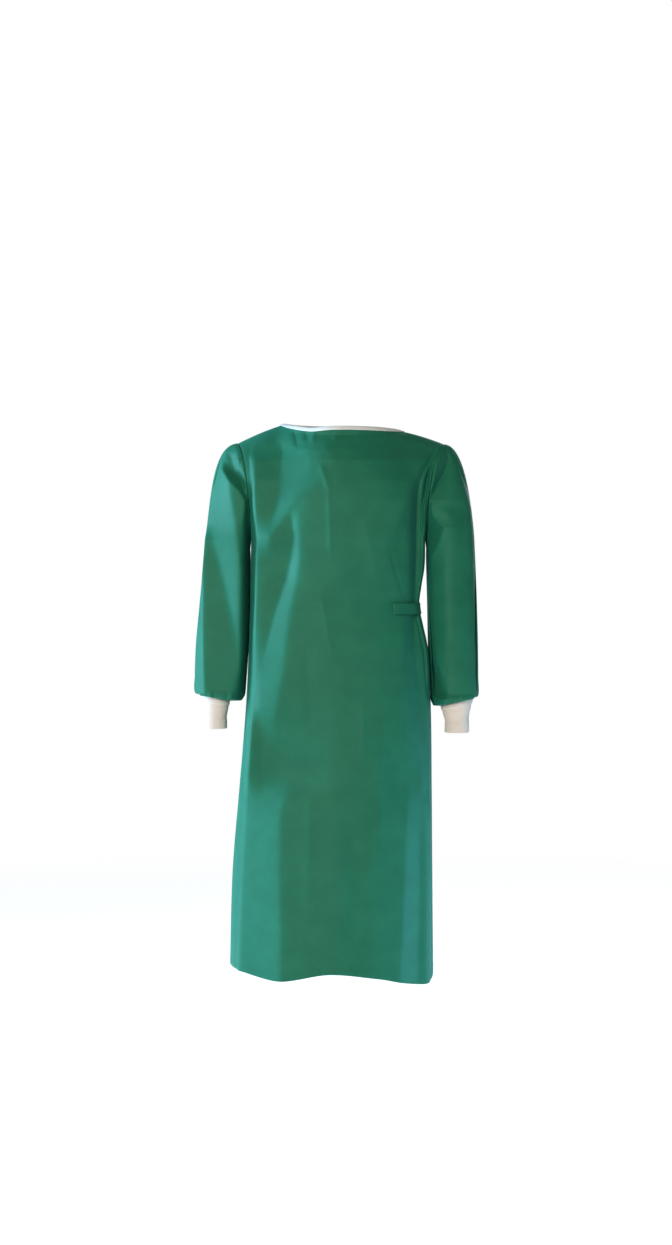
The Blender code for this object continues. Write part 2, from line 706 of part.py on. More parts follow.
def make_binding():
    """Tape folded over the neck edge, square to the edge all the way round, that lies on the cloth."""
    edge, normal = neck_edge()
    step = np.diff(edge, axis=0)
    step /= np.linalg.norm(step, axis=-1, keepdims=True)
    along = np.concatenate((step[:1], (step[1:] + step[:-1]) / 2, step[-1:]))
    down = np.cross(along, normal)
    down /= np.linalg.norm(down, axis=-1, keepdims=True)
    out = np.cross(down, along)
    out /= np.linalg.norm(out, axis=-1, keepdims=True)
    cloth = cloth_tree()
    away = np.minimum(*(np.linalg.norm(edge - point, axis=-1) for point in (NECK_RIGHT, NECK_LEFT)))
    near = BINDING_ROOM + BINDING_TURN_ROOM * np.exp(-((away / BINDING_TURN_REACH) ** 2))
    far = near + BINDING_WALL
    section = (
        (far, BINDING_WIDTH),
        (far, BINDING_WIDTH / 2),
        (far, -far),
        (-WALL - far, -far),
        (-WALL - far, BINDING_TURN_IN),
        (-WALL - near, BINDING_TURN_IN),
        (-WALL - near, -near),
        (near, -near),
        (near, BINDING_WIDTH / 2),
        (near, BINDING_WIDTH),
    )
    rows = []
    for height, reach in section:
        line = edge + down * np.broadcast_to(reach, len(edge))[:, None]
        lift = out
        if np.min(reach) > 0:
            found = [cloth.find_nearest(point) for point in line]
            line = np.array([place for place, *_ in found])
            facing = np.array([facing for _, facing, *_ in found])
            lift = share_normals(out, facing * np.sign((facing * out).sum(-1, keepdims=True)))
        rows.append(line + lift * height[:, None])
    bar("neck_binding", np.array(rows), "binding")


def bar(name, sections, cloth):
    """Closed bar through an outline that is repeated along a path: a row for each point of the outline."""
    points, stations = sections.shape[:2]
    order = np.arange(points * stations).reshape(points, stations)
    faces = triangles(points + 1, stations, False) % (points * stations)
    shape = [faces]
    for end in (order[:, 0], order[:, -1]):
        half = points // 2
        for k in range(half - 1):
            a, b, c, d = end[k], end[k + 1], end[points - 2 - k], end[points - 1 - k]
            shape.append(np.array([(a, b, c), (a, c, d)]))
    solid(name, sections.reshape(-1, 3), np.concatenate(shape), cloth)


def make_patch(columns):
    """Hook-and-loop patch that lies between the lapped back panels below the neck binding."""
    angles = np.linspace(*PATCH_ANGLES, columns)
    grid = down_from_edge(angles, np.linspace(*PATCH_REACH, 3), front=False)
    normal = normals(grid)
    wall("neck_closure", grid - normal * PATCH_DEPTH[0], grid - normal * PATCH_DEPTH[1], "closure")


def skirt(angle, z):
    """Outer surface of the body below the armholes, with its folds, and its normals."""
    angle, z = np.broadcast_arrays(np.asarray(angle, float), np.asarray(z, float))
    base = body(angle, z)
    normal = np.cross(body(angle + 0.5, z) - base, body(angle, z + 0.5) - base)
    normal /= np.linalg.norm(normal, axis=-1, keepdims=True)
    return base + normal * drape(angle, z)[..., None], normal


def strap(name, angle, z, lift):
    """Flat tie that lies over the body: rows across its width, columns along its length."""
    surface, normal = skirt(angle, z)
    lift = np.broadcast_to(lift, surface.shape[:2])[..., None]
    wall(name, surface + normal * (lift + TIE_WALL), surface + normal * lift)


def sorted_pair(keys, values):
    """Two lists put in the order of the first."""
    order = np.argsort(keys)
    return keys[order], values[order]


def make_ties():
    """The two waist ties, their knot and their free ends."""
    surface, normal = skirt(KNOT_ANGLE, TIE_Z)
    side = np.cross((0, 0, 1), normal)
    side /= np.linalg.norm(side)
    angles = np.linspace(KNOT_ANGLE - KNOT_RISE_ANGLE, KNOT_ANGLE + KNOT_RISE_ANGLE, 33)
    near, near_n = skirt(angles, TIE_Z)
    offsets = (near + near_n * (TIE_LIFT + KNOT_RISE + TIE_WALL / 2) - surface) @ side
    reach = (KNOT_HALF[0] + KNOT_SIDE_GAP) * np.sign(offsets[-1])
    before, after = np.interp((-reach, reach), *sorted_pair(offsets, angles))
    half_width = TIE_WIDTH / 2 / abs(offsets[-1] - offsets[0]) * 2 * KNOT_RISE_ANGLE
    across = TIE_Z + np.array((-0.5, 0.5))[:, None] * TIE_WIDTH
    for name, start, end in (("tie_front", TIE_FRONT_START, before), ("tie_back", TIE_BACK_START, after)):
        count = int(abs(end - start) / TIE_STEP) + 1
        angle = np.linspace(start, end, count)
        strap(name, angle, across, TIE_LIFT + KNOT_RISE * ease(1 - np.abs(end - angle) / KNOT_RISE_ANGLE))

    knot(surface + normal * (TIE_LIFT + KNOT_HALF[1]), side, normal)

    for row in FREE_ENDS:
        share = np.linspace(0, 1, END_ROWS)[:, None] ** END_CROWDING
        below = KNOT_CLEAR + row.length * share
        middle = row.angle_top + (row.angle_end - row.angle_top) * ease(share)
        half = half_width * np.linspace(-1, 1, 3)
        lift = row.lift + (row.lift_end - row.lift) * share + KNOT_RISE * ease(1 - below / KNOT_RISE_LENGTH)
        strap(row.name, middle + half, TIE_Z - KNOT_HALF[2] - below, lift)


def knot(centre, side, outward):
    """Rounded lump with flattened sides: a superellipsoid from rings between two poles."""
    def power(value):
        return np.sign(value) * np.abs(value) ** (2 / KNOT_SQUARE)

    turn = np.arange(KNOT_POINTS) * 2 * np.pi / KNOT_POINTS
    climb = np.linspace(-np.pi / 2, np.pi / 2, KNOT_RINGS + 2)[1:-1, None]
    x = power(np.cos(climb)) * power(np.cos(turn)) * KNOT_HALF[0]
    y = power(np.cos(climb)) * power(np.sin(turn)) * KNOT_HALF[1]
    z = power(np.sin(climb)) * KNOT_HALF[2] + 0 * turn
    up = np.array((0, 0, 1.0))
    rings = centre + x[..., None] * side + y[..., None] * outward + z[..., None] * up
    poles = centre + np.array((-1, 1))[:, None] * KNOT_HALF[2] * up
    points = np.concatenate((rings.reshape(-1, 3), poles))
    low, high = len(points) - 2, len(points) - 1
    first = np.arange(KNOT_POINTS)
    last = first + (KNOT_RINGS - 1) * KNOT_POINTS
    faces = [triangles(KNOT_RINGS, KNOT_POINTS, True)]
    faces.append(np.stack((first, np.roll(first, -1), 0 * first + low), -1))
    faces.append(np.stack((last, 0 * last + high, np.roll(last, -1)), -1))
    solid("tie_knot", points, np.concatenate(faces), "cloth")


def clear_scene():
    """Starts from an empty scene."""
    for old in list(bpy.data.objects):
        bpy.data.objects.remove(old)


clear_scene()
FRONT_ANGLES = front_angles()[0]
BACK_ANGLES_RIGHT = back_angles(outer=True)[0]
BACK_ANGLES_LEFT = back_angles(outer=False)[0]
FRONT, BACK_RIGHT, BACK_LEFT = make_body()
make_sleeve("sleeve_right", armhole(FRONT, BACK_RIGHT, 0), SLEEVE_RIGHT, SLEEVE_RIGHT_FOLDS, CUFF_RIGHT, PUFF_RIGHT)
make_sleeve("sleeve_left", armhole(FRONT, BACK_LEFT, -1), SLEEVE_LEFT, SLEEVE_LEFT_FOLDS, CUFF_LEFT, PUFF_LEFT)
make_cuff("cuff_right", CUFF_RIGHT)
make_cuff("cuff_left", CUFF_LEFT)
make_binding()
make_patch(6)
make_ties()
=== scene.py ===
# %% [markdown]
# # Surgical gown, as worn
# The gown hangs as if a person stood in it: a front, two back panels that lap, two set-in sleeves,
# knitted cuffs, a folded tape round the neck and two waist ties. Cloth like this could be
# simulated, but a stiff nonwoven gown keeps a few long creases that a person can point at. So each
# cut piece is worked out here as a surface of two parameters, one round the body and one down it,
# and its creases are drawn on that surface. Sizes are in millimetres, as on a pattern
# sheet, and become metres when a mesh is made.

# %% Load the imported gown and its box
from collections import namedtuple

import bpy
import numpy as np
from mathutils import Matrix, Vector
from mathutils.bvhtree import BVHTree


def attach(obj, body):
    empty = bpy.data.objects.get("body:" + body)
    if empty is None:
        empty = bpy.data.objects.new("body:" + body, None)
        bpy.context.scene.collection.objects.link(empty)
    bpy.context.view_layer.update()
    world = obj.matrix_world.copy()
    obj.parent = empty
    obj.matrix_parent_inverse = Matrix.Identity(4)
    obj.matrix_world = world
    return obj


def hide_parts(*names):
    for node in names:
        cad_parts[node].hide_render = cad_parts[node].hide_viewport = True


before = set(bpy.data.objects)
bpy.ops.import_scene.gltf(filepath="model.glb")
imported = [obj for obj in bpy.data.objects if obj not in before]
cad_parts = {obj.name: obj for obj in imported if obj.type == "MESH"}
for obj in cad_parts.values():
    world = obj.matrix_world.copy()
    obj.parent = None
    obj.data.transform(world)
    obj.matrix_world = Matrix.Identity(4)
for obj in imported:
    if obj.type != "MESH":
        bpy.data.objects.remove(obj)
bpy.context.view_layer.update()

MM = 0.001
print("nodes:", sorted(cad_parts))


def add(name, data):
    """An object of the scene that holds this data."""
    made = bpy.data.objects.new(name, data)
    bpy.context.scene.collection.objects.link(made)
    return made


# %% [markdown]
# ## Camera
# The camera comes first, because every crease is judged from it. It stands 3.5 m in front of the
# gown, a little below the chest, and looks level along +Y. A picture height of 2490 mm at that
# distance gives the lens.

# %% Camera
CAMERA_AT = (-10, -3500, -397)
PICTURE_HEIGHT = 2490
SENSOR = 36.0

camera = add("camera", bpy.data.cameras.new("camera"))
camera.data.sensor_fit = "VERTICAL"
camera.data.sensor_height = SENSOR
camera.data.lens = SENSOR * -CAMERA_AT[1] / PICTURE_HEIGHT
camera.location = [c * MM for c in CAMERA_AT]
camera.rotation_euler = (np.pi / 2, 0, 0)
bpy.context.scene.camera = camera
print("lens", round(camera.data.lens, 1))

# %% [markdown]
# ## Reading a pattern table
# A maker notes a garment's sizes at a few places, and the cloth runs smoothly between them. So a
# table here has a few rows of named columns, and it can be read at any place of its first column.
# The line through each column is a cubic between neighbouring places, whose slope at each place is
# taken from its neighbours.

# %% Smooth lines through the places of a table
def smooth(at, knots, values):
    """Cubic line through the knots. Over a span t runs from 0 to 1, its ends are weighed with
    1 - 3t^2 + 2t^3 and 3t^2 - 2t^3, and their slopes with t(1-t)^2 and -t^2(1-t)."""
    at = np.clip(np.asarray(at, float), knots[0], knots[-1])
    knots, values = np.asarray(knots, float), np.asarray(values, float)
    slopes = np.gradient(values, knots)
    index = np.clip(np.searchsorted(knots, at, side="right") - 1, 0, len(knots) - 2)
    span = knots[index + 1] - knots[index]
    t = (at - knots[index]) / span
    start = (1 + 2 * t) * (1 - t) ** 2 * values[index] + t * (1 - t) ** 2 * span * slopes[index]
    end = t * t * (3 - 2 * t) * values[index + 1] - t * t * (1 - t) * span * slopes[index + 1]
    return start + end


def read(rows, at):
    """The row that a table would have at a place: every column is read along the first one."""
    keys = [row[0] for row in rows]
    return type(rows[0])(*(smooth(at, keys, column) for column in zip(*rows)))


def ease(t):
    """Rises smoothly from 0 to 1: 3t^2 - 2t^3."""
    t = np.clip(t, 0, 1)
    return t * t * (3 - 2 * t)


def cubic(t, start, leave, arrive, end):
    """Curve from start to end, which leaves and arrives in the directions of the other two points:
    they are weighed with (1-t)^3, 3t(1-t)^2, 3t^2(1-t) and t^3."""
    near, far = (1 - t) ** 3 * start + 3 * t * (1 - t) ** 2 * leave, t**3 * end
    return near + 3 * t * t * (1 - t) * arrive + far


# %% Lengths along lines and grids of points
def unit(vectors):
    """The same directions with length one."""
    return vectors / np.linalg.norm(vectors, axis=-1, keepdims=True)


def run(points, axis=0):
    """Distance from the first point, added up from point to point along an axis."""
    steps = np.linalg.norm(np.diff(points, axis=axis), axis=-1)
    return np.insert(np.cumsum(steps, axis), 0, 0, axis)


# %% [markdown]
# ## The body below the armholes
# Seen from above, the hung cloth is a rounded box: wider than deep, and squarer at the waist, where
# the tie pulls it in. A superellipse draws that outline, and a table says how far it reaches at
# each height.

# %% Body outline at each height
Level = namedtuple("Level", "z left right front back square")
BODY = (
    Level(-1100, -222, 184, 164, 153, 2.35),
    Level(-870, -215, 182, 156, 147, 2.40),
    Level(-730, -203, 181, 150, 140, 2.50),
    Level(-540, -188, 178, 139, 126, 2.75),
    Level(-440, -183.5, 172, 130, 114, 2.95),
    Level(-400, -182, 163, 126, 108, 3.00),
    Level(-362, -181, 156, 123, 104, 3.00),
    Level(-326, -180.5, 160, 124, 107, 3.00),
    Level(-290, -180, 166, 126, 111, 2.95),
    Level(-230, -179, 168, 129, 118, 2.75),
)
ARMPIT_Z = -230
LOW_Z = -1083

Hem = namedtuple("Hem", "angle z")
HEM = (
    Hem(-180, -1090), Hem(-130, -1084), Hem(-90, -1073), Hem(-62, -1075), Hem(-36, -1085),
    Hem(0, -1070), Hem(30, -1080), Hem(62, -1100), Hem(78, -1097), Hem(92, -1082),
    Hem(135, -1084), Hem(180, -1090),
)


def superellipse(turn, width, depth, square):
    """Rounded outline: the sine and cosine, each over its reach and to the power square, add up
    to one."""
    along = np.abs(np.sin(turn) / width) ** square + np.abs(np.cos(turn) / depth) ** square
    reach = along ** (-1 / square)
    return reach * np.sin(turn), reach * np.cos(turn)


def body(angle, z):
    """Body at an angle in degrees from the middle of the front, and a height below the armpits."""
    level, turn = read(BODY, z), np.radians(angle)
    depth = np.where(np.cos(turn) > 0, level.front, level.back)
    across, forward = superellipse(turn, (level.right - level.left) / 2, depth, level.square)
    return np.stack(((level.left + level.right) / 2 + across, -forward, z + 0 * across), -1)


def wrap_angle(angle):
    """The same angle between -180 and 180 degrees."""
    return (np.asarray(angle, float) + 180) % 360 - 180


# %% [markdown]
# ## Neck, shoulders and chest
# The neck edge is a shallow arc in front and behind, and the shoulder seams run down from its ends.
# From that top edge the cloth falls over the chest to the level of the armpits. Each column of
# cloth is one cubic curve, which leaves the edge and meets the armpit line in directions that a
# table gives, so the chest, shoulder and armhole flow into each other.

# %% Top edge of the panels
# The neck edge spans 45 degrees to each side of the middle, as an arc of 62 degrees each way
NECK_ANGLE = 45
NECK_ARC = np.radians(62)
NECK_DROP = 1.3
NECK_RIGHT, NECK_LEFT = np.array((-114.0, 4.0, 0.0)), np.array((118.0, 4.0, -13.0))
TIP_RIGHT, TIP_LEFT = np.array((-207.0, 6.0, -38.0)), np.array((208.0, 6.0, -40.0))
SHOULDER_RISE = 2.0
# Depth and height of the neck edge in its middle; place across, width and depth of its small sag
NECK_FRONT, NECK_BACK = (-86, -14), (70, 2)
NECK_SAG = (-56, 24, 3.0)


def neckline(angle, front):
    """Neck edge between the neck points: an arc that drops to its middle, with a small sag."""
    turn = angle / NECK_ANGLE * NECK_ARC
    across = np.sin(turn) / np.sin(NECK_ARC)
    reach = np.clip((np.cos(turn) - np.cos(NECK_ARC)) / (1 - np.cos(NECK_ARC)), 0, 1)
    drop = 1 - (1 - reach) ** NECK_DROP
    line = (NECK_RIGHT + NECK_LEFT) / 2 + (NECK_LEFT - NECK_RIGHT) / 2 * across[..., None]
    y, z = NECK_FRONT if front else NECK_BACK
    line[..., 1] += (y - line[..., 1]) * reach
    line[..., 2] += (z - line[..., 2]) * drop
    if front:
        at, width, depth = NECK_SAG
        line[..., 2] -= depth * np.exp(-(((line[..., 0] - at) / width) ** 2))
    return line


def shoulder(angle):
    """Shoulder seam: straight from neck point to tip, with a slight rise of one half sine."""
    share = ((np.abs(angle) - NECK_ANGLE) / (90 - NECK_ANGLE))[..., None]
    left = (angle > 0)[..., None]
    neck, tip = np.where(left, NECK_LEFT, NECK_RIGHT), np.where(left, TIP_LEFT, TIP_RIGHT)
    line = neck + (tip - neck) * share
    line[..., 2] += SHOULDER_RISE * np.sin(np.pi * share[..., 0])
    return line


def top_edge(angle, front):
    """Neck edge within 45 degrees of the middle, shoulder seam beyond."""
    near = np.clip(angle, -NECK_ANGLE, NECK_ANGLE)
    far = np.where(np.abs(angle) < NECK_ANGLE, np.copysign(NECK_ANGLE, angle), angle)
    return np.where((np.abs(angle) <= NECK_ANGLE)[..., None], neckline(near, front), shoulder(far))


# %% Fall of the cloth from the top edge to the armpit line
Fall = namedtuple("Fall", "angle out forward up end_out end_forward end_up")
FRONT_FALL = (
    Fall(0, 0, 34, -38, 0, 0, 90), Fall(18, 8, 33, -36, 0, 0, 88), Fall(30, 16, 34, -31, 0, 1, 86),
    Fall(38, 23, 38, -25, 0, 2, 83), Fall(45, 26, 44, -17, 0, 4, 80),
    Fall(55, 16, 58, -13, 0, 14, 75), Fall(63, 6, 66, -11, 1, 24, 70),
    Fall(78, -8, 78, -13, 1, 58, 58), Fall(90, -18, 86, -16, 1, 80, 52),
)
BACK_FALL = (
    Fall(0, 0, 28, -32, 0, 4, 95), Fall(18, 7, 27, -30, 0, 4, 94), Fall(30, 14, 29, -24, 0, 4, 92),
    Fall(38, 20, 34, -17, 0, 5, 89), Fall(45, 24, 42, -12, 0, 6, 86),
    Fall(55, 15, 54, -10, 0, 14, 80), Fall(63, 6, 61, -9, 1, 24, 72),
    Fall(78, -8, 74, -12, 1, 54, 58), Fall(90, -18, 82, -18, 1, 76, 50),
)
# The left armhole is pulled in by this much more, and slopes are measured over this many mm
LEFT_PULL = 1.7
SLOPE_STEP = 8


def yoke(angle, t, front):
    """Columns of cloth from the top edge (t = 0) to the armpit line (t = 1), each a cubic curve."""
    way, whole = (-1, angle) if front else (1, 180 - angle)
    fall, side = read(FRONT_FALL if front else BACK_FALL, np.abs(angle)), np.sign(angle)

    def lead(out, forward, up):
        pull = np.where((side > 0) & (out < 0), LEFT_PULL, 1)
        return np.stack((side * out * pull, way * forward, up), -1)

    top, end = top_edge(angle, front), body(whole, ARMPIT_Z + 0 * angle)
    rise = (end - body(whole, ARMPIT_Z - SLOPE_STEP + 0 * angle)) / SLOPE_STEP
    leave = top + lead(fall.out, fall.forward, fall.up)
    end_lead = lead(fall.end_out, fall.end_forward, fall.end_up)
    arrive = end + end_lead * (1, 1, 0) + rise * end_lead[..., 2:]
    return cubic(t[..., None], top, leave, arrive, end)


# %% [markdown]
# ## Folds and creases
# This stiff cloth doesn't hang in soft waves alone. It breaks into long flat facets, with a ridge
# or a crease between each two, as folded paper does. So the front is drawn by fold lines. Each line
# runs down the cloth through places, which say how high and how far across they are and how far
# forward the cloth stands there. Across the cloth the surface runs straight from one line to the
# next, and each line is as sharp or as round as its bend says.

# %% Fold lines of the front, from the wearer's right to the left
# Bend, then the places: height, place across, reach forward
FRONT_LINES = (
    # outer edge of the front, wearer's right
    (2, ((-34, -187.2, 15), (-56, -187.1, 37), (-77, -181.3, 55), (-117, -178.8, 66),
     (-157, -176.6, 70), (-196, -176.5, 60), (-234, -174.5, 52), (-294, -175.5, 52),
     (-353, -175.3, 56), (-412, -177.2, 57), (-471, -179.1, 59), (-549, -183, 60),
     (-628, -186.2, 66), (-706, -191.5, 66), (-784, -196.2, 70), (-901, -202.8, 74),
     (-1019, -205.9, 72), (-1119, -210.3, 64))),
    # rim
    (2.5, ((-35, -176.8, 24), (-78, -171.1, 62), (-118, -170.3, 78), (-158, -170.1, 84),
     (-181, -169, 86), (-207, -167.1, 84), (-236, -166.2, 84), (-271, -167, 88), (-312, -167.9, 89),
     (-353, -167.8, 90), (-412, -169.8, 90), (-441, -170.8, 89), (-470, -170.8, 90),
     (-503, -171.7, 91), (-559, -174.4, 96), (-595, -176.5, 111), (-634, -178.9, 118),
     (-672, -181.2, 118.5), (-700, -183.5, 111), (-742, -186, 96), (-781, -187.5, 93.4),
     (-898, -193.9, 95), (-1015, -197.7, 96), (-1112, -201.6, 95.5))),
    # crease at the foot of the upper band
    (3, ((-36, -122.8, 38), (-58, -115.3, 56), (-78, -116.9, 68), (-119, -118.4, 81),
     (-158, -125.1, 86), (-182, -130.8, 89), (-207, -136.1, 94), (-229, -141.1, 102),
     (-271, -144.4, 92), (-312, -148.3, 92), (-353, -152.2, 92), (-380, -154.1, 92.5),
     (-437, -159.9, 94), (-470, -162.7, 95.5), (-503, -165.6, 96.5), (-559, -168.7, 101),
     (-595, -170.7, 111.5), (-634, -171.6, 117), (-672, -172.4, 117.5), (-708, -174.2, 110.5),
     (-742, -176, 102), (-781, -177.1, 100.4), (-897, -180.8, 104), (-1013, -183.6, 105.5),
     (-1110, -186.5, 105.5))),
    # ridge of the upper band
    (5, ((-40, -80.5, 73), (-61, -68.4, 92), (-82, -56.6, 105), (-121, -64.2, 110),
     (-160, -89.4, 111), (-183, -107, 105), (-208, -121.6, 103), (-229, -135.2, 104),
     (-271, -138.5, 93), (-312, -142.4, 92.5), (-353, -146.3, 92.5), (-380, -150.2, 93),
     (-437, -155.5, 95), (-470, -157.7, 98), (-503, -161.2, 100), (-559, -164, 105),
     (-595, -164.9, 111), (-634, -163.2, 115), (-673, -162.8, 115.5), (-714, -163.8, 110),
     (-741, -165, 109), (-780, -165, 108.4), (-895, -166.8, 113), (-1011, -167.6, 116),
     (-1108, -170.5, 116))),
    # crease at the foot of the long ridge
    (2.5, ((-41, -60.7, 87), (-62, -48.8, 101), (-82, -37.1, 112), (-122, -44.8, 119),
     (-160, -71.9, 117), (-183, -97.2, 108), (-198, -96.3, 105), (-229, -95.8, 103),
     (-272, -98.5, 98), (-312, -109.3, 94), (-353, -122.9, 94), (-380, -130.6, 95),
     (-437, -144.2, 97), (-470, -150.8, 101), (-503, -155.5, 104), (-559, -159.2, 110),
     (-595, -157.1, 112), (-634, -153.2, 113), (-673, -151.3, 113.5), (-717, -153.3, 112),
     (-740, -153.1, 115), (-779, -153.1, 116.4), (-894, -152.8, 122.5), (-1009, -152.7, 126),
     (-1105, -152.6, 128))),
    # long ridge, then edge of the side panel
    (6, ((-42, -37.2, 97), (-63, -25.5, 108), (-83, -15.8, 117), (-122, -21.6, 123),
     (-161, -52.5, 122), (-183, -82.5, 117), (-209, -83.5, 117), (-238, -81.5, 118),
     (-272, -80.5, 118.5), (-313, -85.4, 118), (-354, -94.1, 118), (-381, -98.9, 119),
     (-437, -106.5, 123), (-469, -110.3, 126), (-502, -114, 129), (-558, -125.5, 130),
     (-595, -129.7, 122), (-634, -116.2, 120.5), (-672, -102.6, 122.5), (-710, -102.5, 128.5),
     (-738, -109.9, 139), (-776, -117.6, 139), (-891, -119.3, 145), (-1005, -117.2, 150),
     (-1100, -117.1, 152))),
    # faint ridge down the middle
    (18, ((-42, 7.5, 100), (-83, 7.4, 116.5), (-103, -2.3, 121), (-130, -6.1, 126),
     (-182, -17.7, 129.5), (-238, -17.7, 130.5), (-354, -15.8, 125), (-450, -13.8, 131.5),
     (-527, -13.8, 137), (-613, -13.8, 141), (-661, -13.8, 143), (-889, -13.8, 157.5),
     (-1098, -13.8, 163))),
    # where the front starts to turn away
    (30, ((-40, 68.3, 74), (-82, 69.5, 108), (-122, 73.1, 118), (-161, 74.9, 122.5),
     (-238, 74.8, 127), (-296, 74.9, 122), (-354, 78.9, 117), (-411, 78.8, 121.5),
     (-469, 74.8, 128), (-546, 74.6, 134), (-623, 74.5, 138), (-699, 70.6, 142),
     (-776, 66.7, 145.5), (-890, 62.8, 149.5), (-1004, 62.7, 153), (-1099, 62.6, 156))),
    # crease to the tie, then foot of the lower fold
    (4, ((-35, 120.8, 31), (-79, 127, 76), (-120, 131, 96), (-160, 127.6, 109.5),
     (-218, 105.9, 120), (-251, 86.5, 123), (-292, 102.2, 116), (-336, 118.2, 102),
     (-359, 122.3, 96), (-382, 122.3, 96), (-425, 123.9, 105), (-491, 121.6, 114),
     (-547, 121.5, 117), (-624, 123.3, 119), (-673, 129.4, 112), (-712, 133.3, 110),
     (-746, 129.1, 118), (-778, 127.1, 122), (-836, 125, 124), (-937, 121, 128), (-1027, 117, 132),
     (-1103, 111.1, 136))),
    # edge of the deep fold, then ridge of the lower fold
    (5, ((-44, 184.8, 22), (-60, 179.9, 38), (-77, 169, 58), (-98, 154.4, 74), (-119, 145, 84),
     (-139, 139.2, 92), (-155, 136.6, 97), (-171, 135.3, 100), (-186, 134.9, 101),
     (-243, 134.5, 100), (-305, 134.8, 95), (-347, 135.4, 85), (-382, 133.5, 84), (-408, 130.2, 92),
     (-450, 129, 99), (-547, 133.6, 103), (-625, 151.4, 98), (-706, 164.3, 92), (-748, 154.9, 97),
     (-839, 153.3, 98), (-942, 152.3, 99), (-1111, 148.2, 102))),
    # foot of the deep fold
    (2, ((-44, 191, 18), (-59, 186.2, 31), (-76, 176.7, 42), (-97, 163.5, 54), (-117, 155.1, 61),
     (-136, 151.3, 58), (-152, 149.4, 57), (-168, 148, 56), (-183, 147.5, 55), (-240, 146.8, 52),
     (-303, 145.7, 52), (-347, 142.5, 62), (-382, 141.1, 66), (-408, 142.1, 66), (-451, 143.6, 76),
     (-548, 151, 84), (-626, 161.7, 86), (-707, 168.3, 82), (-749, 162.2, 92), (-840, 161.2, 95),
     (-943, 160.4, 96), (-1111, 157.1, 99))),
    # crisp edge beyond it
    (1.5, ((-44, 194.8, 20), (-60, 189.9, 36), (-77, 181, 54), (-97, 168.8, 62), (-117, 161.7, 66),
     (-137, 158.9, 63), (-152, 157, 62), (-168, 155.8, 62), (-184, 155.1, 60), (-241, 154.2, 58),
     (-304, 152.5, 57), (-347, 148.5, 58), (-382, 147.8, 60), (-408, 152.2, 64), (-451, 158.6, 70),
     (-549, 166.3, 72), (-627, 170.2, 72), (-707, 172.1, 74), (-749, 169.1, 86), (-840, 168.9, 90),
     (-943, 168.4, 92), (-1112, 167.1, 94))),
    # crease beside the armhole
    (2, ((-44, 196.9, 18), (-59, 192.1, 32), (-76, 184.5, 44), (-96, 174.4, 42), (-115, 169.4, 42),
     (-135, 167.6, 43), (-152, 164.3, 50), (-168, 160.4, 57), (-183, 159.6, 56), (-240, 158.8, 54),
     (-303, 156.5, 52), (-347, 150.8, 52), (-382, 150.2, 52), (-408, 155.4, 54), (-451, 163.9, 57),
     (-549, 170.8, 60), (-628, 173.8, 60), (-709, 175.2, 60), (-750, 173.7, 80), (-841, 173.5, 84),
     (-944, 173.2, 85), (-1114, 172.8, 86))),
    # outer edge of the front, wearer's left
    (1.5, ((-44, 200, 16), (-60, 195.5, 36), (-77, 188.5, 50), (-97, 178.3, 56), (-117, 176.1, 58),
     (-136, 174.2, 56), (-152, 169.1, 55), (-168, 164.5, 54), (-183, 163.8, 52), (-240, 162.7, 46),
     (-303, 159.8, 44), (-347, 152.6, 46), (-382, 152, 46), (-408, 157.8, 46), (-451, 167.3, 44),
     (-550, 174.1, 46), (-629, 177.1, 46), (-710, 178.1, 46), (-752, 177.8, 58), (-844, 177.9, 60),
     (-948, 177.7, 60), (-1119, 177.5, 60))),
)

# %% Fold lines of the back, from the wearer's right to the left
BACK_HEIGHTS = (-110, -230, -365, -540, -800, -1120)
# Bend, places across and reaches back at these heights
BACK_CREASES = (
    # side, wearer's right
    (2, (-182, -174, -176, -182, -198, -212), (65, 46, 46, 52, 63, 58)),
    # soft ridge by the side
    (4, (-168, -160, -158, -166, -178, -190), (72, 71, 70, 79, 93, 97)),
    # long crease
    (3, (-140, -132, -118, -128, -144, -156), (78, 85, 82, 97, 106, 108)),
    # ridge
    (8, (-96, -92, -84, -92, -104, -116), (95, 113, 101, 123, 140, 146)),
    # crease that fades down
    (3, (-62, -58, -44, -52, -70, -84), (104, 109, 95, 117, 134, 142)),
    # broad ridge
    (14, (-20, -18, -8, -14, -30, -40), (114, 119, 103, 128, 147, 156)),
    # crease towards the knot
    (4, (24, 34, 52, 34, 18, 8), (111, 112, 93, 117, 137, 146)),
    # ridge towards the knot
    (8, (58, 68, 82, 70, 58, 52), (106, 115, 97, 125, 143, 151)),
    # deep crease beside the knot
    (3, (94, 98, 106, 104, 96, 94), (92, 100, 81, 101, 117, 124)),
    # ridge below the knot
    (7, (132, 130, 126, 136, 140, 146), (80, 89, 78, 100, 106, 106)),
    # crease by the side
    (3, (156, 150, 142, 158, 162, 168), (72, 66, 58, 70, 69, 63)),
    # side, wearer's left
    (2, (180, 164, 152, 172, 178, 180), (62, 43, 43, 52, 40, 40)),
)
BACK_LINES = [(bend, list(zip(BACK_HEIGHTS, *rows))) for bend, *rows in BACK_CREASES]

# %% Cloth drawn onto its fold lines
# The folds fade in between two heights, and from the outer lines over a width
FRONT_FADE, BACK_FADE = (-30, -62), (-70, -150)
PANEL_EDGE, SLEEVE_EDGE = 5.0, 1.6
CLOSEST = 0.25


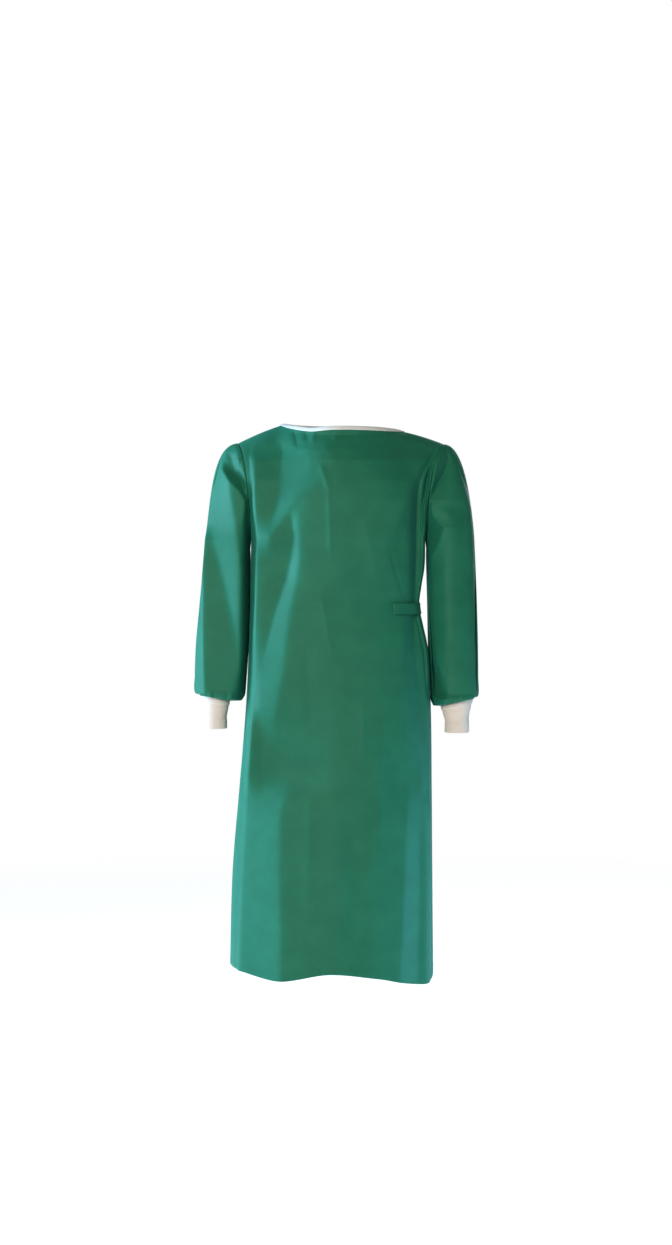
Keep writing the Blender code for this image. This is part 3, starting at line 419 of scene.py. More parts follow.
def facets(lines, at, z):
    """Straight from line to line: a sum over the lines of the change of slope there times
    (d + sqrt(d^2 + bend^2)) / 2, where d is the distance past the line."""
    places = [np.array(row[1][::-1], float).T for row in lines]
    across = np.array([np.interp(z, up, place) for up, place, _ in places])
    reach = np.array([np.interp(z, up, height) for up, _, height in places])
    slope = np.diff(reach, axis=0) / np.maximum(np.diff(across, axis=0), CLOSEST)
    changes = np.diff(slope, axis=0, prepend=0, append=0)
    total = reach[0]
    for middle, change, (bend, _) in zip(across, changes, lines):
        past = at - middle
        total = total + change * (past + np.sqrt(past**2 + bend**2)) / 2
    return total, np.minimum(at - across[0], across[-1] - at)


def fold(grid, lines, edge, fade, way=-1):
    """Moves cloth towards or away from the viewer onto its facets, so it keeps its outline as seen
    from there. The move fades in from the outer lines, and between the two heights of the fade."""
    x, y, z = np.moveaxis(grid, -1, 0)
    reach, inside = facets(lines, x, z)
    share = ease(inside / edge) * ease((fade[0] - z) / (fade[0] - fade[1]))
    return np.stack((x, y + (way * reach - y) * share, z), -1)


# %% Short ripples over the folds
# Top and bottom, place across at each, width to its left and right, height
Ripple = namedtuple("Ripple", "top bottom x_top x_bottom left right height")
FRONT_RIPPLES = (
    Ripple(-14, -58, -94, -84, 6, 14, -3.4), Ripple(-16, -46, -70, -66, 5, 7, -2.2),
    Ripple(-18, -50, -52, -58, 4, 7, 2.6), Ripple(-20, -44, -8, -14, 6, 8, 2.0),
    Ripple(-16, -48, 48, 56, 8, 10, -1.6), Ripple(-86, -150, -42, -22, 5, 9, 2.6),
    Ripple(-120, -290, -26, -20, 5, 10, 2.2), Ripple(-320, -480, -44, -14, 9, 12, 1.8),
    Ripple(-540, -680, 42, 44, 7, 9, 1.6), Ripple(-250, -368, 90, 127, 5, 12, -2.4),
    Ripple(-372, -540, 126, 128, 8, 10, -2.0), Ripple(-180, -330, 40, 74, 12, 16, 1.4),
    Ripple(-430, -620, -70, -58, 10, 14, -1.4), Ripple(-700, -1000, -60, -66, 14, 20, 1.8),
    Ripple(-760, -1060, 20, 28, 16, 22, -1.8), Ripple(-620, -900, 70, 78, 12, 18, 1.6),
    Ripple(-240, -420, -176, -170, 4, 5, 1.2),
)
BACK_RIPPLES = (
    Ripple(-30, -120, -60, -66, 8, 12, -2.4), Ripple(-24, -100, 48, 60, 8, 12, 2.2),
    Ripple(-330, -352, 90, 104, 5, 6, -2.0), Ripple(-300, -356, 60, 112, 5, 8, 2.2),
    Ripple(-376, -440, 112, 84, 5, 8, 2.0), Ripple(-250, -420, -150, -130, 8, 12, -2.0),
    Ripple(-480, -720, 20, 12, 12, 18, 1.6), Ripple(-640, -1000, -40, -52, 12, 20, -1.8),
    Ripple(-820, -1060, 110, 116, 10, 14, 2.0),
)
RIPPLE_ROUND, RIPPLE_STEEP, RIPPLE_FADE = 0.3, 2.2, 0.3


def ripples(x, z, rows):
    """Sum of soft tents, each its height times exp(r - sqrt(s (offset / width)^2 + r^2)). The
    roundness r rounds its top, s makes it steep, and it fades in and out along its length."""
    total = 0 * x
    for row in rows:
        along = (row.top - z) / (row.top - row.bottom)
        offset = x - row.x_top - (row.x_bottom - row.x_top) * along
        width = np.where(offset < 0, row.left, row.right)
        slant = np.sqrt(RIPPLE_STEEP * (offset / width) ** 2 + RIPPLE_ROUND**2)
        ends = ease(along / RIPPLE_FADE) * ease((1 - along) / RIPPLE_FADE)
        total = total + row.height * np.exp(RIPPLE_ROUND - slant) * ends
    return total


# %% [markdown]
# ## From a grid of points to cloth
# Each piece is a grid of points. Quads join them, a UV map in metres lets the bonding pattern
# follow the cloth, and the Solidify modifier gives the sheet its thickness on the inside.

# %% Mesh helpers
CLOTH = 0.45


def normals(grid):
    """Unit normals of a grid: the cross product of its two directions."""
    return unit(np.cross(np.gradient(grid, axis=1), np.gradient(grid, axis=0)))


def quads(rows, columns, wrap=False, ring=False, turned=False):
    """Corner numbers of each cell of a grid. Its last column can join its first one (wrap), and its
    last row the first one (ring)."""
    across, down = columns if wrap else columns - 1, rows if ring else rows - 1
    row, col = np.meshgrid(np.arange(down), np.arange(across), indexing="ij")
    here, below, beside = row * columns, (row + 1) % rows * columns, (col + 1) % columns
    cell = np.stack((here + col, below + col, below + beside, here + beside), -1).reshape(-1, 4)
    return cell[:, ::-1] if turned else cell


def closed_tube(rows, columns, turned=False):
    """Corner numbers of a tube with one flat face at each end."""
    first, last = list(range(columns)), list(range((rows - 1) * columns, rows * columns))
    faces = quads(rows, columns, wrap=True).tolist() + [first, last[::-1]]
    return [face[::-1] for face in faces] if turned else faces


def volume(points, faces):
    """Six times the volume inside some quads, negative if they face inwards: the sum of
    a . (b x c) + a . (c x d) over the corners a to d of each."""
    a, b, c, d = np.moveaxis(points.reshape(-1, 3)[faces], 1, 0)
    return (a * (np.cross(b, c) + np.cross(c, d))).sum()


def lengths(grid, wrap=False):
    """Distance along the cloth from its first column and row at each point, for its UV map."""
    if wrap:
        grid = np.concatenate((grid, grid[:, :1]), 1)
    u, v = run(grid, 1).mean(0), run(grid).mean(1)
    pairs = np.stack(np.broadcast_arrays(u[None], -v[:, None]), -1)
    return pairs[:, :-1] if wrap else pairs


def make_mesh(name, points, faces, uv, finish, node=None, thickness=0):
    """A smooth piece in metres, with its UV map, finish, thickness and place in the gown."""
    mesh = bpy.data.meshes.new(name)
    faces = faces if isinstance(faces, list) else faces.tolist()
    mesh.from_pydata((points.reshape(-1, 3) * MM).tolist(), [], faces)
    mesh.shade_smooth()
    corners = np.empty(len(mesh.loops), np.int32)
    mesh.loops.foreach_get("vertex_index", corners)
    corner_uv = uv.reshape(-1, 2)[corners] * MM
    mesh.uv_layers.new(name="cloth").data.foreach_set("uv", corner_uv.ravel())
    mesh.materials.append(finish)
    piece = add(name, mesh)
    if thickness:
        wall = piece.modifiers.new("thickness", "SOLIDIFY")
        wall.thickness = thickness * MM
        wall.offset = -1
    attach(piece, "root")
    if node:
        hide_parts(node)
    print(name, len(faces), "faces")
    return piece


# %% [markdown]
# ## Finishes
# Nonwoven cloth is pressed from fine fibres and bonded in a close grid of points. Up close it is
# mottled where fibres bunch, a little shiny on top of the points, and it has a soft sheen at the
# edges. The shader is written as sums and products on sockets, which one small class turns into
# Math nodes.

# %% A class that turns sums on sockets into nodes
class Wire:
    """A socket of a shader. Sums, differences, products, quotients and powers add Math nodes."""

    def __init__(self, tree, socket=None):
        self.tree, self.socket = tree, socket

    def node(self, kind, sockets=None, out=0, **settings):
        """Adds a node of a kind, sets its settings, then its sockets, and gives one output."""
        made = self.tree.nodes.new(kind)
        for key, value in settings.items():
            setattr(made, key, value)
        for key, value in (sockets or {}).items():
            if isinstance(value, Wire):
                self.tree.links.new(value.socket, made.inputs[key])
            else:
                made.inputs[key].default_value = value
        return Wire(self.tree, made.outputs[out] if len(made.outputs) else None)

    def math(self, operation, one, other=0.0):
        return self.node("ShaderNodeMath", {0: one, 1: other}, operation=operation)

    def noise(self, scale, detail, roughness=0.5):
        """Noise in space, with this many blotches to the metre."""
        place = self.node("ShaderNodeTexCoord", out="Object")
        sockets = {"Vector": place, "Scale": scale, "Detail": detail, "Roughness": roughness}
        return self.node("ShaderNodeTexNoise", sockets)

    def length(self, axis):
        """Length along the cloth's own UV map in metres, X round it and Y down it."""
        uv = self.node("ShaderNodeTexCoord", out="UV")
        return self.node("ShaderNodeSeparateXYZ", {"Vector": uv}, out=axis)

    def mix(self, dark, light):
        """Colour from dark to light, by this socket's value. 6 and 7 are the colour inputs."""
        return self.node("ShaderNodeMix", {0: self, 6: dark, 7: light}, out=2, data_type="RGBA")

    def bump(self, strength, distance):
        """Normal of a surface that this socket's value lifts."""
        sockets = {"Strength": strength, "Distance": distance, "Height": self}
        return self.node("ShaderNodeBump", sockets)

    def __add__(self, other):
        return self.math("ADD", self, other)

    __radd__ = __add__

    def __sub__(self, other):
        return self.math("SUBTRACT", self, other)

    def __rsub__(self, other):
        return self.math("SUBTRACT", other, self)

    def __mul__(self, other):
        return self.math("MULTIPLY", self, other)

    __rmul__ = __mul__

    def __truediv__(self, other):
        return self.math("DIVIDE", self, other)

    def __pow__(self, other):
        return self.math("POWER", self, other)


def new_finish(name):
    """An empty material and the Wire that its nodes start from."""
    made = bpy.data.materials.new(name)
    made.use_nodes = True
    made.node_tree.nodes.clear()
    return made, Wire(made.node_tree)


def finish_with(wire, sockets):
    """Ends a material in a Principled shader with these socket values."""
    shader = wire.node("ShaderNodeBsdfPrincipled", sockets)
    wire.node("ShaderNodeOutputMaterial", {"Surface": shader})


# %% Green nonwoven
CLOTH_DARK, CLOTH_LIGHT = (0.0030, 0.066, 0.041, 1), (0.0140, 0.150, 0.094, 1)
SHEEN_TINT = (0.1, 0.75, 0.7, 1)
# Radians to the metre of the two waves whose product is the grid of bonding points
BONDS = 2200.0


def nonwoven(name):
    """Fibres and blotches are noise in space. The bonding points are sin(k(u + v)) sin(k(u - v)) in
    the cloth's own UV."""
    made, wire = new_finish(name)
    blotch, fibre = wire.noise(22.0, 4.0, 0.6), wire.noise(420.0, 3.0, 0.7)
    across, down = wire.length("X"), wire.length("Y")
    bond = wire.math("SINE", (across + down) * BONDS) * wire.math("SINE", (across - down) * BONDS)
    finish_with(wire, {
        "Base Color": (blotch * 0.55 + fibre * 0.45).mix(CLOTH_DARK, CLOTH_LIGHT),
        "Roughness": 0.52 + fibre * 0.16, "Specular IOR Level": 0.14,
        "Sheen Weight": 0.12, "Sheen Roughness": 0.5, "Sheen Tint": SHEEN_TINT,
        "Normal": (fibre * 0.6 + bond * 0.25).bump(0.25, 0.0004),
    })
    return made


green = nonwoven("green_nonwoven")

# %% [markdown]
# ## Front and back panels
# The front runs from side seam to side seam. Behind, two panels lap over the middle, and the outer
# one comes from the wearer's right. Their edges roll in at the seams, which draws each seam as a
# fine groove, and the lower edge is turned up inside as a hem.

# %% Rows, columns and the hem
FRONT_COLUMNS, BACK_COLUMNS = 196, 120
CORNER_CROWDING = 0.55
EDGE_ANGLES = np.array((89.4, 89.7, 89.9))
# Rows are numbered by v: 0 at the top edge, 1 at the armpits, 2 at the hem
YOKE_T = np.concatenate(((0, 0.006, 0.014), np.linspace(0.03, 1, 56)))
SKIRT_ROWS = 160
ROW_V = np.concatenate((YOKE_T, 1 + np.linspace(0, 1, SKIRT_ROWS + 1)[1:]))
SEAM_ROLL, SEAM_WIDTH = 0.9, 2.2
SEAM_GAP = 0.08
# How far in from the outer face and how far up, for each row of the turned hem
HEM_TURN = ((0.25, -0.35), (0.9, -0.3), (1.25, 0.8), (1.25, 6), (1.25, 14))
# Passes of the softening under the neck points, and the rows over which it fades at both ends
SOFT_PASSES, SOFT_TOP, SOFT_LOW = 300, (0.03, 0.12), (0.95, 0.5)
# Rows and angles over which ripples fade in from the top edge and out at the sides
RIPPLE_TOP, RIPPLE_SIDE = (0.02, 0.08), (80, 8)
Look = namedtuple("Look", "way lines fade ripples")
FRONT_LOOK = Look(-1, FRONT_LINES, FRONT_FADE, FRONT_RIPPLES)
BACK_LOOK = Look(1, BACK_LINES, BACK_FADE, BACK_RIPPLES)


def body_z(angle, v):
    """Height of a row below the armpits, v from 1 to 2: level at the waist, then along the hem."""
    share, hem = np.clip(v - 1, 0, 1), read(HEM, wrap_angle(angle)).z
    return ARMPIT_Z + (LOW_Z - ARMPIT_Z) * share + (hem - LOW_Z) * share**2


def plain_panel(angle, v, front):
    """Plain cloth of a panel: the yoke down to v = 1, and the body below it down to v = 2."""
    whole = angle if front else 180 - angle
    lower = body(whole, body_z(whole, v))
    return np.where((v <= 1)[..., None], yoke(angle, np.clip(v, 0, 1), front), lower)


def seam_roll(grid, normal):
    """Sinks the side edges, and the shoulder part of the top edge, by a bell curve of the distance
    to them."""
    along = run(grid, 1)
    edge = np.minimum(np.minimum(along, along[:, -1:] - along), run(grid))
    return grid - normal * (SEAM_ROLL * np.exp(-((edge / SEAM_WIDTH) ** 2)))[..., None]


def soften(grid, v):
    """Evens out the bend under each neck point: passes of a (1, 2, 1) / 4 average along the rows,
    which leave the edge and the armpit line where they are."""
    (top, top_run), (low, low_run) = SOFT_TOP, SOFT_LOW
    share = (ease((v - top) / top_run) * ease((low - v) / low_run) * 0.5)[..., None][:, 1:-1]
    for _ in range(SOFT_PASSES):
        inner = grid[:, 1:-1]
        grid[:, 1:-1] = inner + ((grid[:, 2:] + grid[:, :-2]) / 2 - inner) * share
    return grid


def panel(angles, front):
    """Points and outward normals of a panel with its folds, at its own angles for each row."""
    v, look = ROW_V[:, None] + 0 * angles, FRONT_LOOK if front else BACK_LOOK
    grid = soften(plain_panel(angles, v, front), v)
    grid = fold(grid, look.lines, PANEL_EDGE, look.fade, look.way)
    (top, top_run), (side, side_run) = RIPPLE_TOP, RIPPLE_SIDE
    inner = ease((v - top) / top_run) * ease((side - np.abs(angles)) / side_run)
    grid[..., 1] += look.way * inner * ripples(grid[..., 0], grid[..., 2], look.ripples)
    return grid, normals(grid) * look.way


def turned_hem(grid, normal):
    """Adds rows that turn in and run up inside the lower edge."""
    last, inward, rise = grid[-1], -normal[-1], unit(grid[-4] - grid[-1])
    return np.concatenate((grid, [last + inward * depth + rise * up for depth, up in HEM_TURN]))


def panel_angles(columns):
    """Angles from -90 to 90, closer together where the body turns its corners, one on each neck
    point."""
    even = np.linspace(-1, 1, columns + 1)
    spread = 90 * (even + CORNER_CROWDING * np.sin(2 * np.pi * even) / (2 * np.pi))
    nearest = np.argmin(np.abs(spread - NECK_ANGLE))
    spread[nearest], spread[columns - nearest] = NECK_ANGLE, -NECK_ANGLE
    return np.sort(np.concatenate((spread, EDGE_ANGLES, -EDGE_ANGLES)))


# %% Front
front_at = np.tile(panel_angles(FRONT_COLUMNS), (len(ROW_V), 1))
front_grid, front_normal = panel(front_at, front=True)

# %% Back panels
# Angles past the middle to which each panel reaches
Lap = namedtuple("Lap", "z outer inner")
LAP = (
    Lap(-1100, 42, 44), Lap(-600, 43, 45), Lap(-230, 38, 42), Lap(-60, 18, 20), Lap(10, 15, 16),
)
UNDERLAP, UNDERLAP_EASE = 5.0, 26
ROW_HEIGHTS = np.where(
    ROW_V <= 1, ARMPIT_Z * ROW_V, ARMPIT_Z + (LOW_Z - ARMPIT_Z) * (ROW_V - 1)
)


def back_angles(outer):
    """Columns of a back panel from its side seam over the middle to its lapped edge, which slants
    near the neck."""
    lap, side = read(LAP, ROW_HEIGHTS), panel_angles(FRONT_COLUMNS)
    reach = (lap.outer if outer else lap.inner)[:, None]
    side = side[side >= NECK_ANGLE][::-1]
    rest = NECK_ANGLE - (reach + NECK_ANGLE) * np.linspace(0, 1, BACK_COLUMNS - len(side) + 2)[1:]
    angles = np.concatenate((np.tile(side, (len(ROW_V), 1)), rest), 1)
    return -angles if outer else angles[:, ::-1]


def underlap(angles, z):
    """How far the inner panel lies under the outer one: nothing at its side, all near its edge."""
    return UNDERLAP * ease((read(LAP, z).outer + UNDERLAP_EASE - angles) / UNDERLAP_EASE)


right_at, left_at = back_angles(outer=True), back_angles(outer=False)
right_grid, right_normal = panel(right_at, front=False)
left_grid, left_normal = panel(left_at, front=False)
left_grid -= left_normal * underlap(left_at, ROW_HEIGHTS[:, None])[..., None]

# %% Seam gaps between the panels
for grid, at, sides, way in (
    (front_grid, front_at, (0, -1), -1), (right_grid, right_at, 0, 1), (left_grid, left_at, -1, 1),
):
    grid[:, sides, 1] += way * SEAM_GAP / 2
    grid[0, np.abs(at[0]) >= NECK_ANGLE, 1] += way * SEAM_GAP / 2

# %% Make the three panels
panels = {}
for name, grid, normal in (
    ("front", front_grid, front_normal),
    ("back_right", right_grid, right_normal),
    ("back_left", left_grid, left_normal),
):
    full = turned_hem(seam_roll(grid, normal), normal)
    faces = quads(*full.shape[:2], turned=name != "front")
    panels[name] = make_mesh(
        name + "_cloth", full, faces, lengths(full), green, name, CLOTH
    )

# %% [markdown]
# ## Sleeves
# A set-in sleeve starts at the armhole, stands out a little at its head, and falls to the wrist,
# where it is gathered and turned in over the cuff. Round the arm, the turn runs from the side
# towards the body at 0, by the front at a quarter, to the outer side at a half.

# %% Sleeve and cuff sizes
Ring = namedtuple("Ring", "z outer inner middle depth")
SLEEVE_RIGHT = (
    Ring(-560, -288, -197, -9, 62), Ring(-520, -291, -191, -9, 68), Ring(-456, -290, -186, -8, 74),
    Ring(-360, -282, -182.8, -5, 76), Ring(-270, -274, -182, 0, 75),
)
SLEEVE_LEFT = (
    Ring(-570, 270, 184, -9, 60), Ring(-520, 273, 179.5, -9, 66), Ring(-456, 273, 175.4, -8, 72),
    Ring(-360, 271, 173.5, -5, 76), Ring(-270, 268, 171.5, 0, 75),
)
SLEEVE_TOP_Z = -270
# Squareness of the outline, and of its rear towards the body, from this turn on
SLEEVE_SQUARE, PRESSED_SQUARE, PRESSED_FROM = 2.2, 5.0, 0.75
Crown = namedtuple("Crown", "turn out forward up end_up")
CROWN = (
    Crown(0.00, 1.5, 0, -12, 12), Crown(0.25, 24, 12, -24, 75), Crown(0.50, 50, 0, -4, 130),
    Crown(0.75, 24, -12, -24, 75), Crown(1.00, 1.5, 0, -12, 12),
)
Cuff = namedtuple("Cuff", "z tilt x y top_width top_depth wrist_width wrist_depth")
CUFF_RIGHT = Cuff(-546, 7, -249, -10, 27, 35, 21.5, 30.5)
CUFF_LEFT = Cuff(-554, 9, 231, -10, 32, 36, 24, 31)
CUFF_LENGTH = 62
CUFF_NARROWED = 0.55
CUFF_OVERLAP = 1.2

# %% Fold lines of the sleeves
SLEEVE_RIGHT_LINES = (
    # outer edge
    (1, ((-40, -224, 0), (-56, -234.9, 2), (-72, -241.7, 4), (-93, -247.6, 6), (-113, -252.4, 8),
     (-133, -257.3, 10), (-153, -260.5, 12), (-177, -263.6, 16), (-203, -267.5, 20),
     (-234, -270.8, 42), (-266, -272.9, 46), (-303, -275.6, 50), (-333, -277.8, 46),
     (-372, -282.1, 34), (-432, -287.4, 32), (-461, -288.1, 36), (-491, -287.8, 40),
     (-530, -287, 42))),
    # inner edge of the rim
    (3, ((-40, -223.1, 1), (-56, -233.7, 4), (-73, -240.5, 7), (-93, -245.1, 14),
     (-114, -246.5, 22), (-134, -248.3, 25), (-154, -254.5, 22), (-177, -260.4, 22),
     (-203, -264.9, 26), (-234, -267.5, 44), (-266, -269.4, 48), (-303, -272, 53),
     (-333, -273.3, 56), (-372, -274.4, 60), (-431, -273, 65), (-461, -271.9, 67),
     (-490, -270.9, 67), (-529, -269, 66))),
    # soft edge of the long bright facet
    (6, ((-40, -222.3, 2), (-57, -232.6, 6), (-73, -239.3, 10), (-94, -242.5, 22),
     (-115, -239.7, 34), (-135, -239.5, 38), (-154, -247.9, 30), (-178, -256, 28),
     (-204, -262.3, 29), (-234, -253.7, 47), (-266, -244.5, 51), (-304, -234.3, 57),
     (-333, -228.2, 60), (-372, -220.1, 64), (-431, -208, 69), (-461, -203, 71), (-490, -202.1, 70),
     (-529, -214, 68))),
    # ridge of the long facet
    (5, ((-40, -221.4, 3), (-57, -231.5, 8), (-73, -238.1, 13), (-95, -238.9, 32),
     (-117, -223.5, 62), (-137, -220, 66), (-157, -215.9, 68), (-181, -210.8, 72),
     (-206, -205.6, 77), (-236, -201, 82), (-267, -196.3, 86), (-304, -193.3, 88),
     (-334, -194.3, 87), (-373, -195.8, 85), (-431, -197.7, 79), (-461, -197.9, 75),
     (-490, -198.2, 70), (-529, -206.2, 66))),
    # edge of the dark facet under the sleeve head
    (2, ((-40, -220.6, 4), (-57, -230.4, 10), (-74, -235.9, 17), (-95, -235.5, 38),
     (-117, -221.1, 64), (-137, -201.1, 70), (-157, -188.3, 71), (-181, -189.2, 73),
     (-206, -192, 75), (-236, -191, 75), (-267, -191, 76), (-304, -190, 76), (-333, -190.9, 77),
     (-373, -191.9, 77), (-431, -193.1, 73), (-461, -194.2, 70), (-490, -195.4, 66),
     (-530, -200.8, 57))),
    # upper edge of the dark facet
    (3, ((-41, -219.7, 5), (-57, -228.2, 13), (-74, -228.5, 24), (-95, -216, 33),
     (-116, -197.6, 44), (-136, -190.2, 54), (-157, -187, 66), (-180, -187.7, 67),
     (-206, -189.4, 68), (-235, -189.5, 67), (-267, -189.5, 66), (-304, -188.7, 64),
     (-333, -189, 66), (-372, -189.5, 66), (-431, -190.6, 64), (-461, -191.7, 62),
     (-490, -193.9, 58), (-530, -197.4, 48))),
    # outer side of the pucker at the head
    (2, ((-41, -218.6, 6), (-58, -223, 17), (-75, -215.3, 28), (-95, -207.9, 36),
     (-116, -193.6, 46), (-136, -188.3, 52), (-156, -185.8, 62), (-180, -186.4, 62),
     (-205, -187.9, 60), (-235, -188, 58), (-266, -188.1, 56), (-303, -187.6, 54),
     (-333, -187.6, 54), (-372, -188.2, 54), (-431, -189.2, 54), (-461, -190.3, 52),
     (-491, -192.9, 48), (-530, -195.9, 40))),
    # inner side of the pucker
    (1.5, ((-41, -207.2, 14), (-60, -204, 36), (-77, -202.3, 49), (-96, -205, 46),
     (-116, -190.5, 48), (-136, -186.8, 51), (-156, -184.7, 58), (-180, -185.2, 56),
     (-205, -186.4, 50), (-234, -186.6, 46), (-266, -186.7, 44), (-303, -186.5, 42),
     (-333, -186.3, 42), (-372, -186.9, 42), (-432, -187.8, 42), (-461, -189.2, 42),
     (-491, -192, 38), (-531, -194.7, 32))),
    # edge by the body
    (2, ((-41, -203.2, 14), (-59, -199.1, 34), (-76, -194.5, 47), (-97, -190.2, 54),
     (-116, -186.4, 50), (-136, -185.1, 50), (-156, -183.4, 52), (-179, -184, 48), (-204, -185, 40),
     (-234, -185.3, 34), (-265, -185.5, 30), (-303, -185.4, 28), (-333, -185, 28),
     (-372, -185.6, 28), (-432, -186.6, 28), (-461, -188.2, 28), (-491, -191, 26),
     (-531, -193.7, 24))),
)
SLEEVE_LEFT_LINES = (
    # edge by the body
    (1.5, ((-44, 202.6, 16), (-55, 198.4, 26), (-73, 191.8, 48), (-92, 184.5, 62),
     (-110, 179.6, 69), (-128, 176.2, 70), (-143, 174.5, 65), (-156, 173.3, 58), (-169, 172.6, 50),
     (-181, 172, 46), (-191, 171.6, 42), (-198, 171.4, 39), (-208, 171.2, 34), (-219, 171.1, 28),
     (-233, 171.1, 24), (-247, 171.3, 22), (-261, 171.4, 20), (-276, 171.7, 14), (-302, 172.3, 10),
     (-332, 173.1, 10), (-372, 174.5, 10), (-432, 177.5, 10), (-462, 179.1, 10), (-482, 179.9, 10),
     (-502, 181.1, 10), (-522, 182.2, 10), (-546, 183.4, 10))),
    # deep crease beside the armhole
    (2, ((-43, 206.5, 8), (-54, 211, 16), (-70, 213.7, 20), (-88, 209.2, 28), (-107, 202, 33),
     (-125, 188.8, 38), (-141, 178.8, 44), (-156, 175.7, 50), (-169, 173.4, 48), (-181, 173.6, 42),
     (-190, 174, 38), (-198, 174.8, 34), (-208, 175.5, 28), (-219, 175.3, 25), (-233, 174.7, 24),
     (-247, 174.4, 23), (-261, 174.1, 24), (-277, 173.6, 22), (-303, 173.5, 20), (-332, 174.3, 20),
     (-372, 175.6, 22), (-432, 178.6, 22), (-462, 180.8, 22), (-481, 183.8, 22), (-501, 188.5, 26),
     (-521, 193.2, 30), (-545, 198, 34))),
    # edge of the dark facets
    (2, ((-43, 211.4, 10), (-54, 214.3, 17), (-70, 217.4, 25), (-89, 212.9, 33), (-107, 205.6, 38),
     (-125, 192.4, 44), (-142, 181.6, 51), (-156, 178.2, 58), (-170, 175.7, 61), (-182, 177.2, 58),
     (-191, 181.8, 58), (-200, 191.3, 64), (-210, 202.1, 72), (-222, 198.7, 70), (-235, 194.1, 66),
     (-249, 186.7, 58), (-262, 179.4, 48), (-277, 177.3, 42), (-303, 177.7, 42), (-333, 178.7, 42),
     (-372, 179.5, 46), (-432, 181.6, 44), (-461, 184.2, 50), (-481, 188.6, 52), (-500, 195.3, 56),
     (-520, 203.5, 60), (-543, 211, 62))),
    # broad middle
    (14, ((-43, 213.5, 8), (-53, 217.8, 13), (-70, 221.3, 26), (-89, 223.4, 39), (-108, 228.6, 49),
     (-126, 232.1, 55), (-142, 227.9, 59), (-156, 221.8, 63), (-170, 202.2, 62), (-182, 207.7, 68),
     (-192, 213.4, 71), (-200, 217.2, 73), (-210, 221, 74), (-222, 220.9, 75), (-236, 219, 75),
     (-249, 215.1, 75), (-263, 211.2, 75), (-279, 207.2, 75), (-304, 205.2, 76), (-333, 207.1, 78),
     (-373, 208.9, 79), (-431, 208.9, 79), (-461, 209.2, 75), (-480, 211.4, 72), (-500, 217.4, 69),
     (-520, 223.5, 66), (-543, 229.5, 64))),
    # where the outer side turns away
    (4, ((-43, 215.7, 5), (-53, 220, 9), (-70, 226.6, 21), (-89, 234, 29), (-107, 239.6, 33),
     (-125, 245.3, 36), (-141, 248.9, 42), (-155, 252.1, 44), (-169, 254.6, 44), (-181, 255.9, 45),
     (-191, 257, 46), (-199, 257.8, 47), (-209, 258.7, 48), (-220, 259.7, 48), (-234, 260.6, 48),
     (-248, 261.3, 49), (-262, 261.9, 50), (-278, 262.2, 51), (-303, 262.4, 53), (-333, 263.3, 54),
     (-372, 263.1, 57), (-431, 263.3, 59), (-461, 263.3, 59), (-481, 263.3, 59), (-500, 263.3, 59),
     (-520, 263.4, 58), (-544, 263.4, 58))),
    # outer edge
    (1, ((-42, 217.1, 1), (-52, 222.5, 2), (-68, 231.9, 2), (-86, 239.9, 2), (-104, 245.8, 3),
     (-122, 251, 6), (-139, 254.8, 8), (-153, 257.6, 10), (-167, 260.5, 12), (-179, 261.9, 12),
     (-189, 263.1, 12), (-197, 264.1, 12), (-207, 265.1, 12), (-219, 266.1, 12), (-233, 267, 12),
     (-247, 267.4, 12), (-260, 267.8, 12), (-276, 268, 12), (-302, 268.4, 12), (-332, 269.2, 10),
     (-372, 268.8, 20), (-432, 269.4, 20), (-462, 270.1, 24), (-481, 270.1, 24), (-501, 270.1, 24),
     (-521, 270.1, 24), (-545, 270.1, 24))),
)
# Heights of the fade in under the shoulder, the room over the cuff and the fade above it, the fade
# over the head as a share of it, and the one from the middle of the arm to its front
SLEEVE_FADE = (-20, -46)
FOLD_ROOM, FOLD_FADE_LOW = 3, 14
HEAD_FADE = 0.12
ARM_FADE = 4


# %% Rings of a sleeve and a cuff
def sleeve_ring(rows, turn, z):
    """Level outline of a sleeve, a rounded ellipse that is pressed flat against the body at its
    rear."""
    ring = read(rows, z)
    half = np.abs(ring.outer - ring.inner) / 2
    square = np.where(turn > PRESSED_FROM, PRESSED_SQUARE, SLEEVE_SQUARE)
    forward, inward = superellipse(2 * np.pi * turn, ring.depth, half, square)
    x = (ring.outer + ring.inner) / 2 - np.sign(ring.outer) * inward
    return np.stack((x, ring.middle - forward, z + 0 * x), -1)


def cuff_level(cuff, turn):
    """Height of the seam between sleeve and cuff, lower on the side towards the body."""
    return cuff.z - cuff.tilt * np.cos(2 * np.pi * turn)


def cuff_ring(cuff, turn, share, extra=0.0):
    """Outline of a cuff from the sleeve (share 0) to the wrist (share 1), a narrowing ellipse."""
    narrow = ease(share / CUFF_NARROWED)
    width = cuff.top_width + (cuff.wrist_width - cuff.top_width) * narrow + extra
    depth = cuff.top_depth + (cuff.wrist_depth - cuff.top_depth) * narrow + extra
    x = cuff.x - np.sign(cuff.x) * width * np.cos(2 * np.pi * turn)
    y = cuff.y - depth * np.sin(2 * np.pi * turn)
    top = cuff_level(cuff, turn) - SEAM_GAP
    return np.stack((x, y, top + (cuff.z - CUFF_LENGTH - top) * share), -1)


# %% Parts of a sleeve
CROWN_T = np.concatenate(((0, 0.008, 0.02), np.linspace(0.045, 1, 60)))
TUBE_ROWS, TURN_ROWS = 72, 22
WRIST_TOP = -504
# Height above the cuff's seam, share of the way in to the cuff, and gathers
SLEEVE_TURN = ((22, 0.02, 0.6), (8, 0.06, 1.0), (0.6, 0.22, 1.0), (0, 0.62, 0.4), (0, 1, 0))
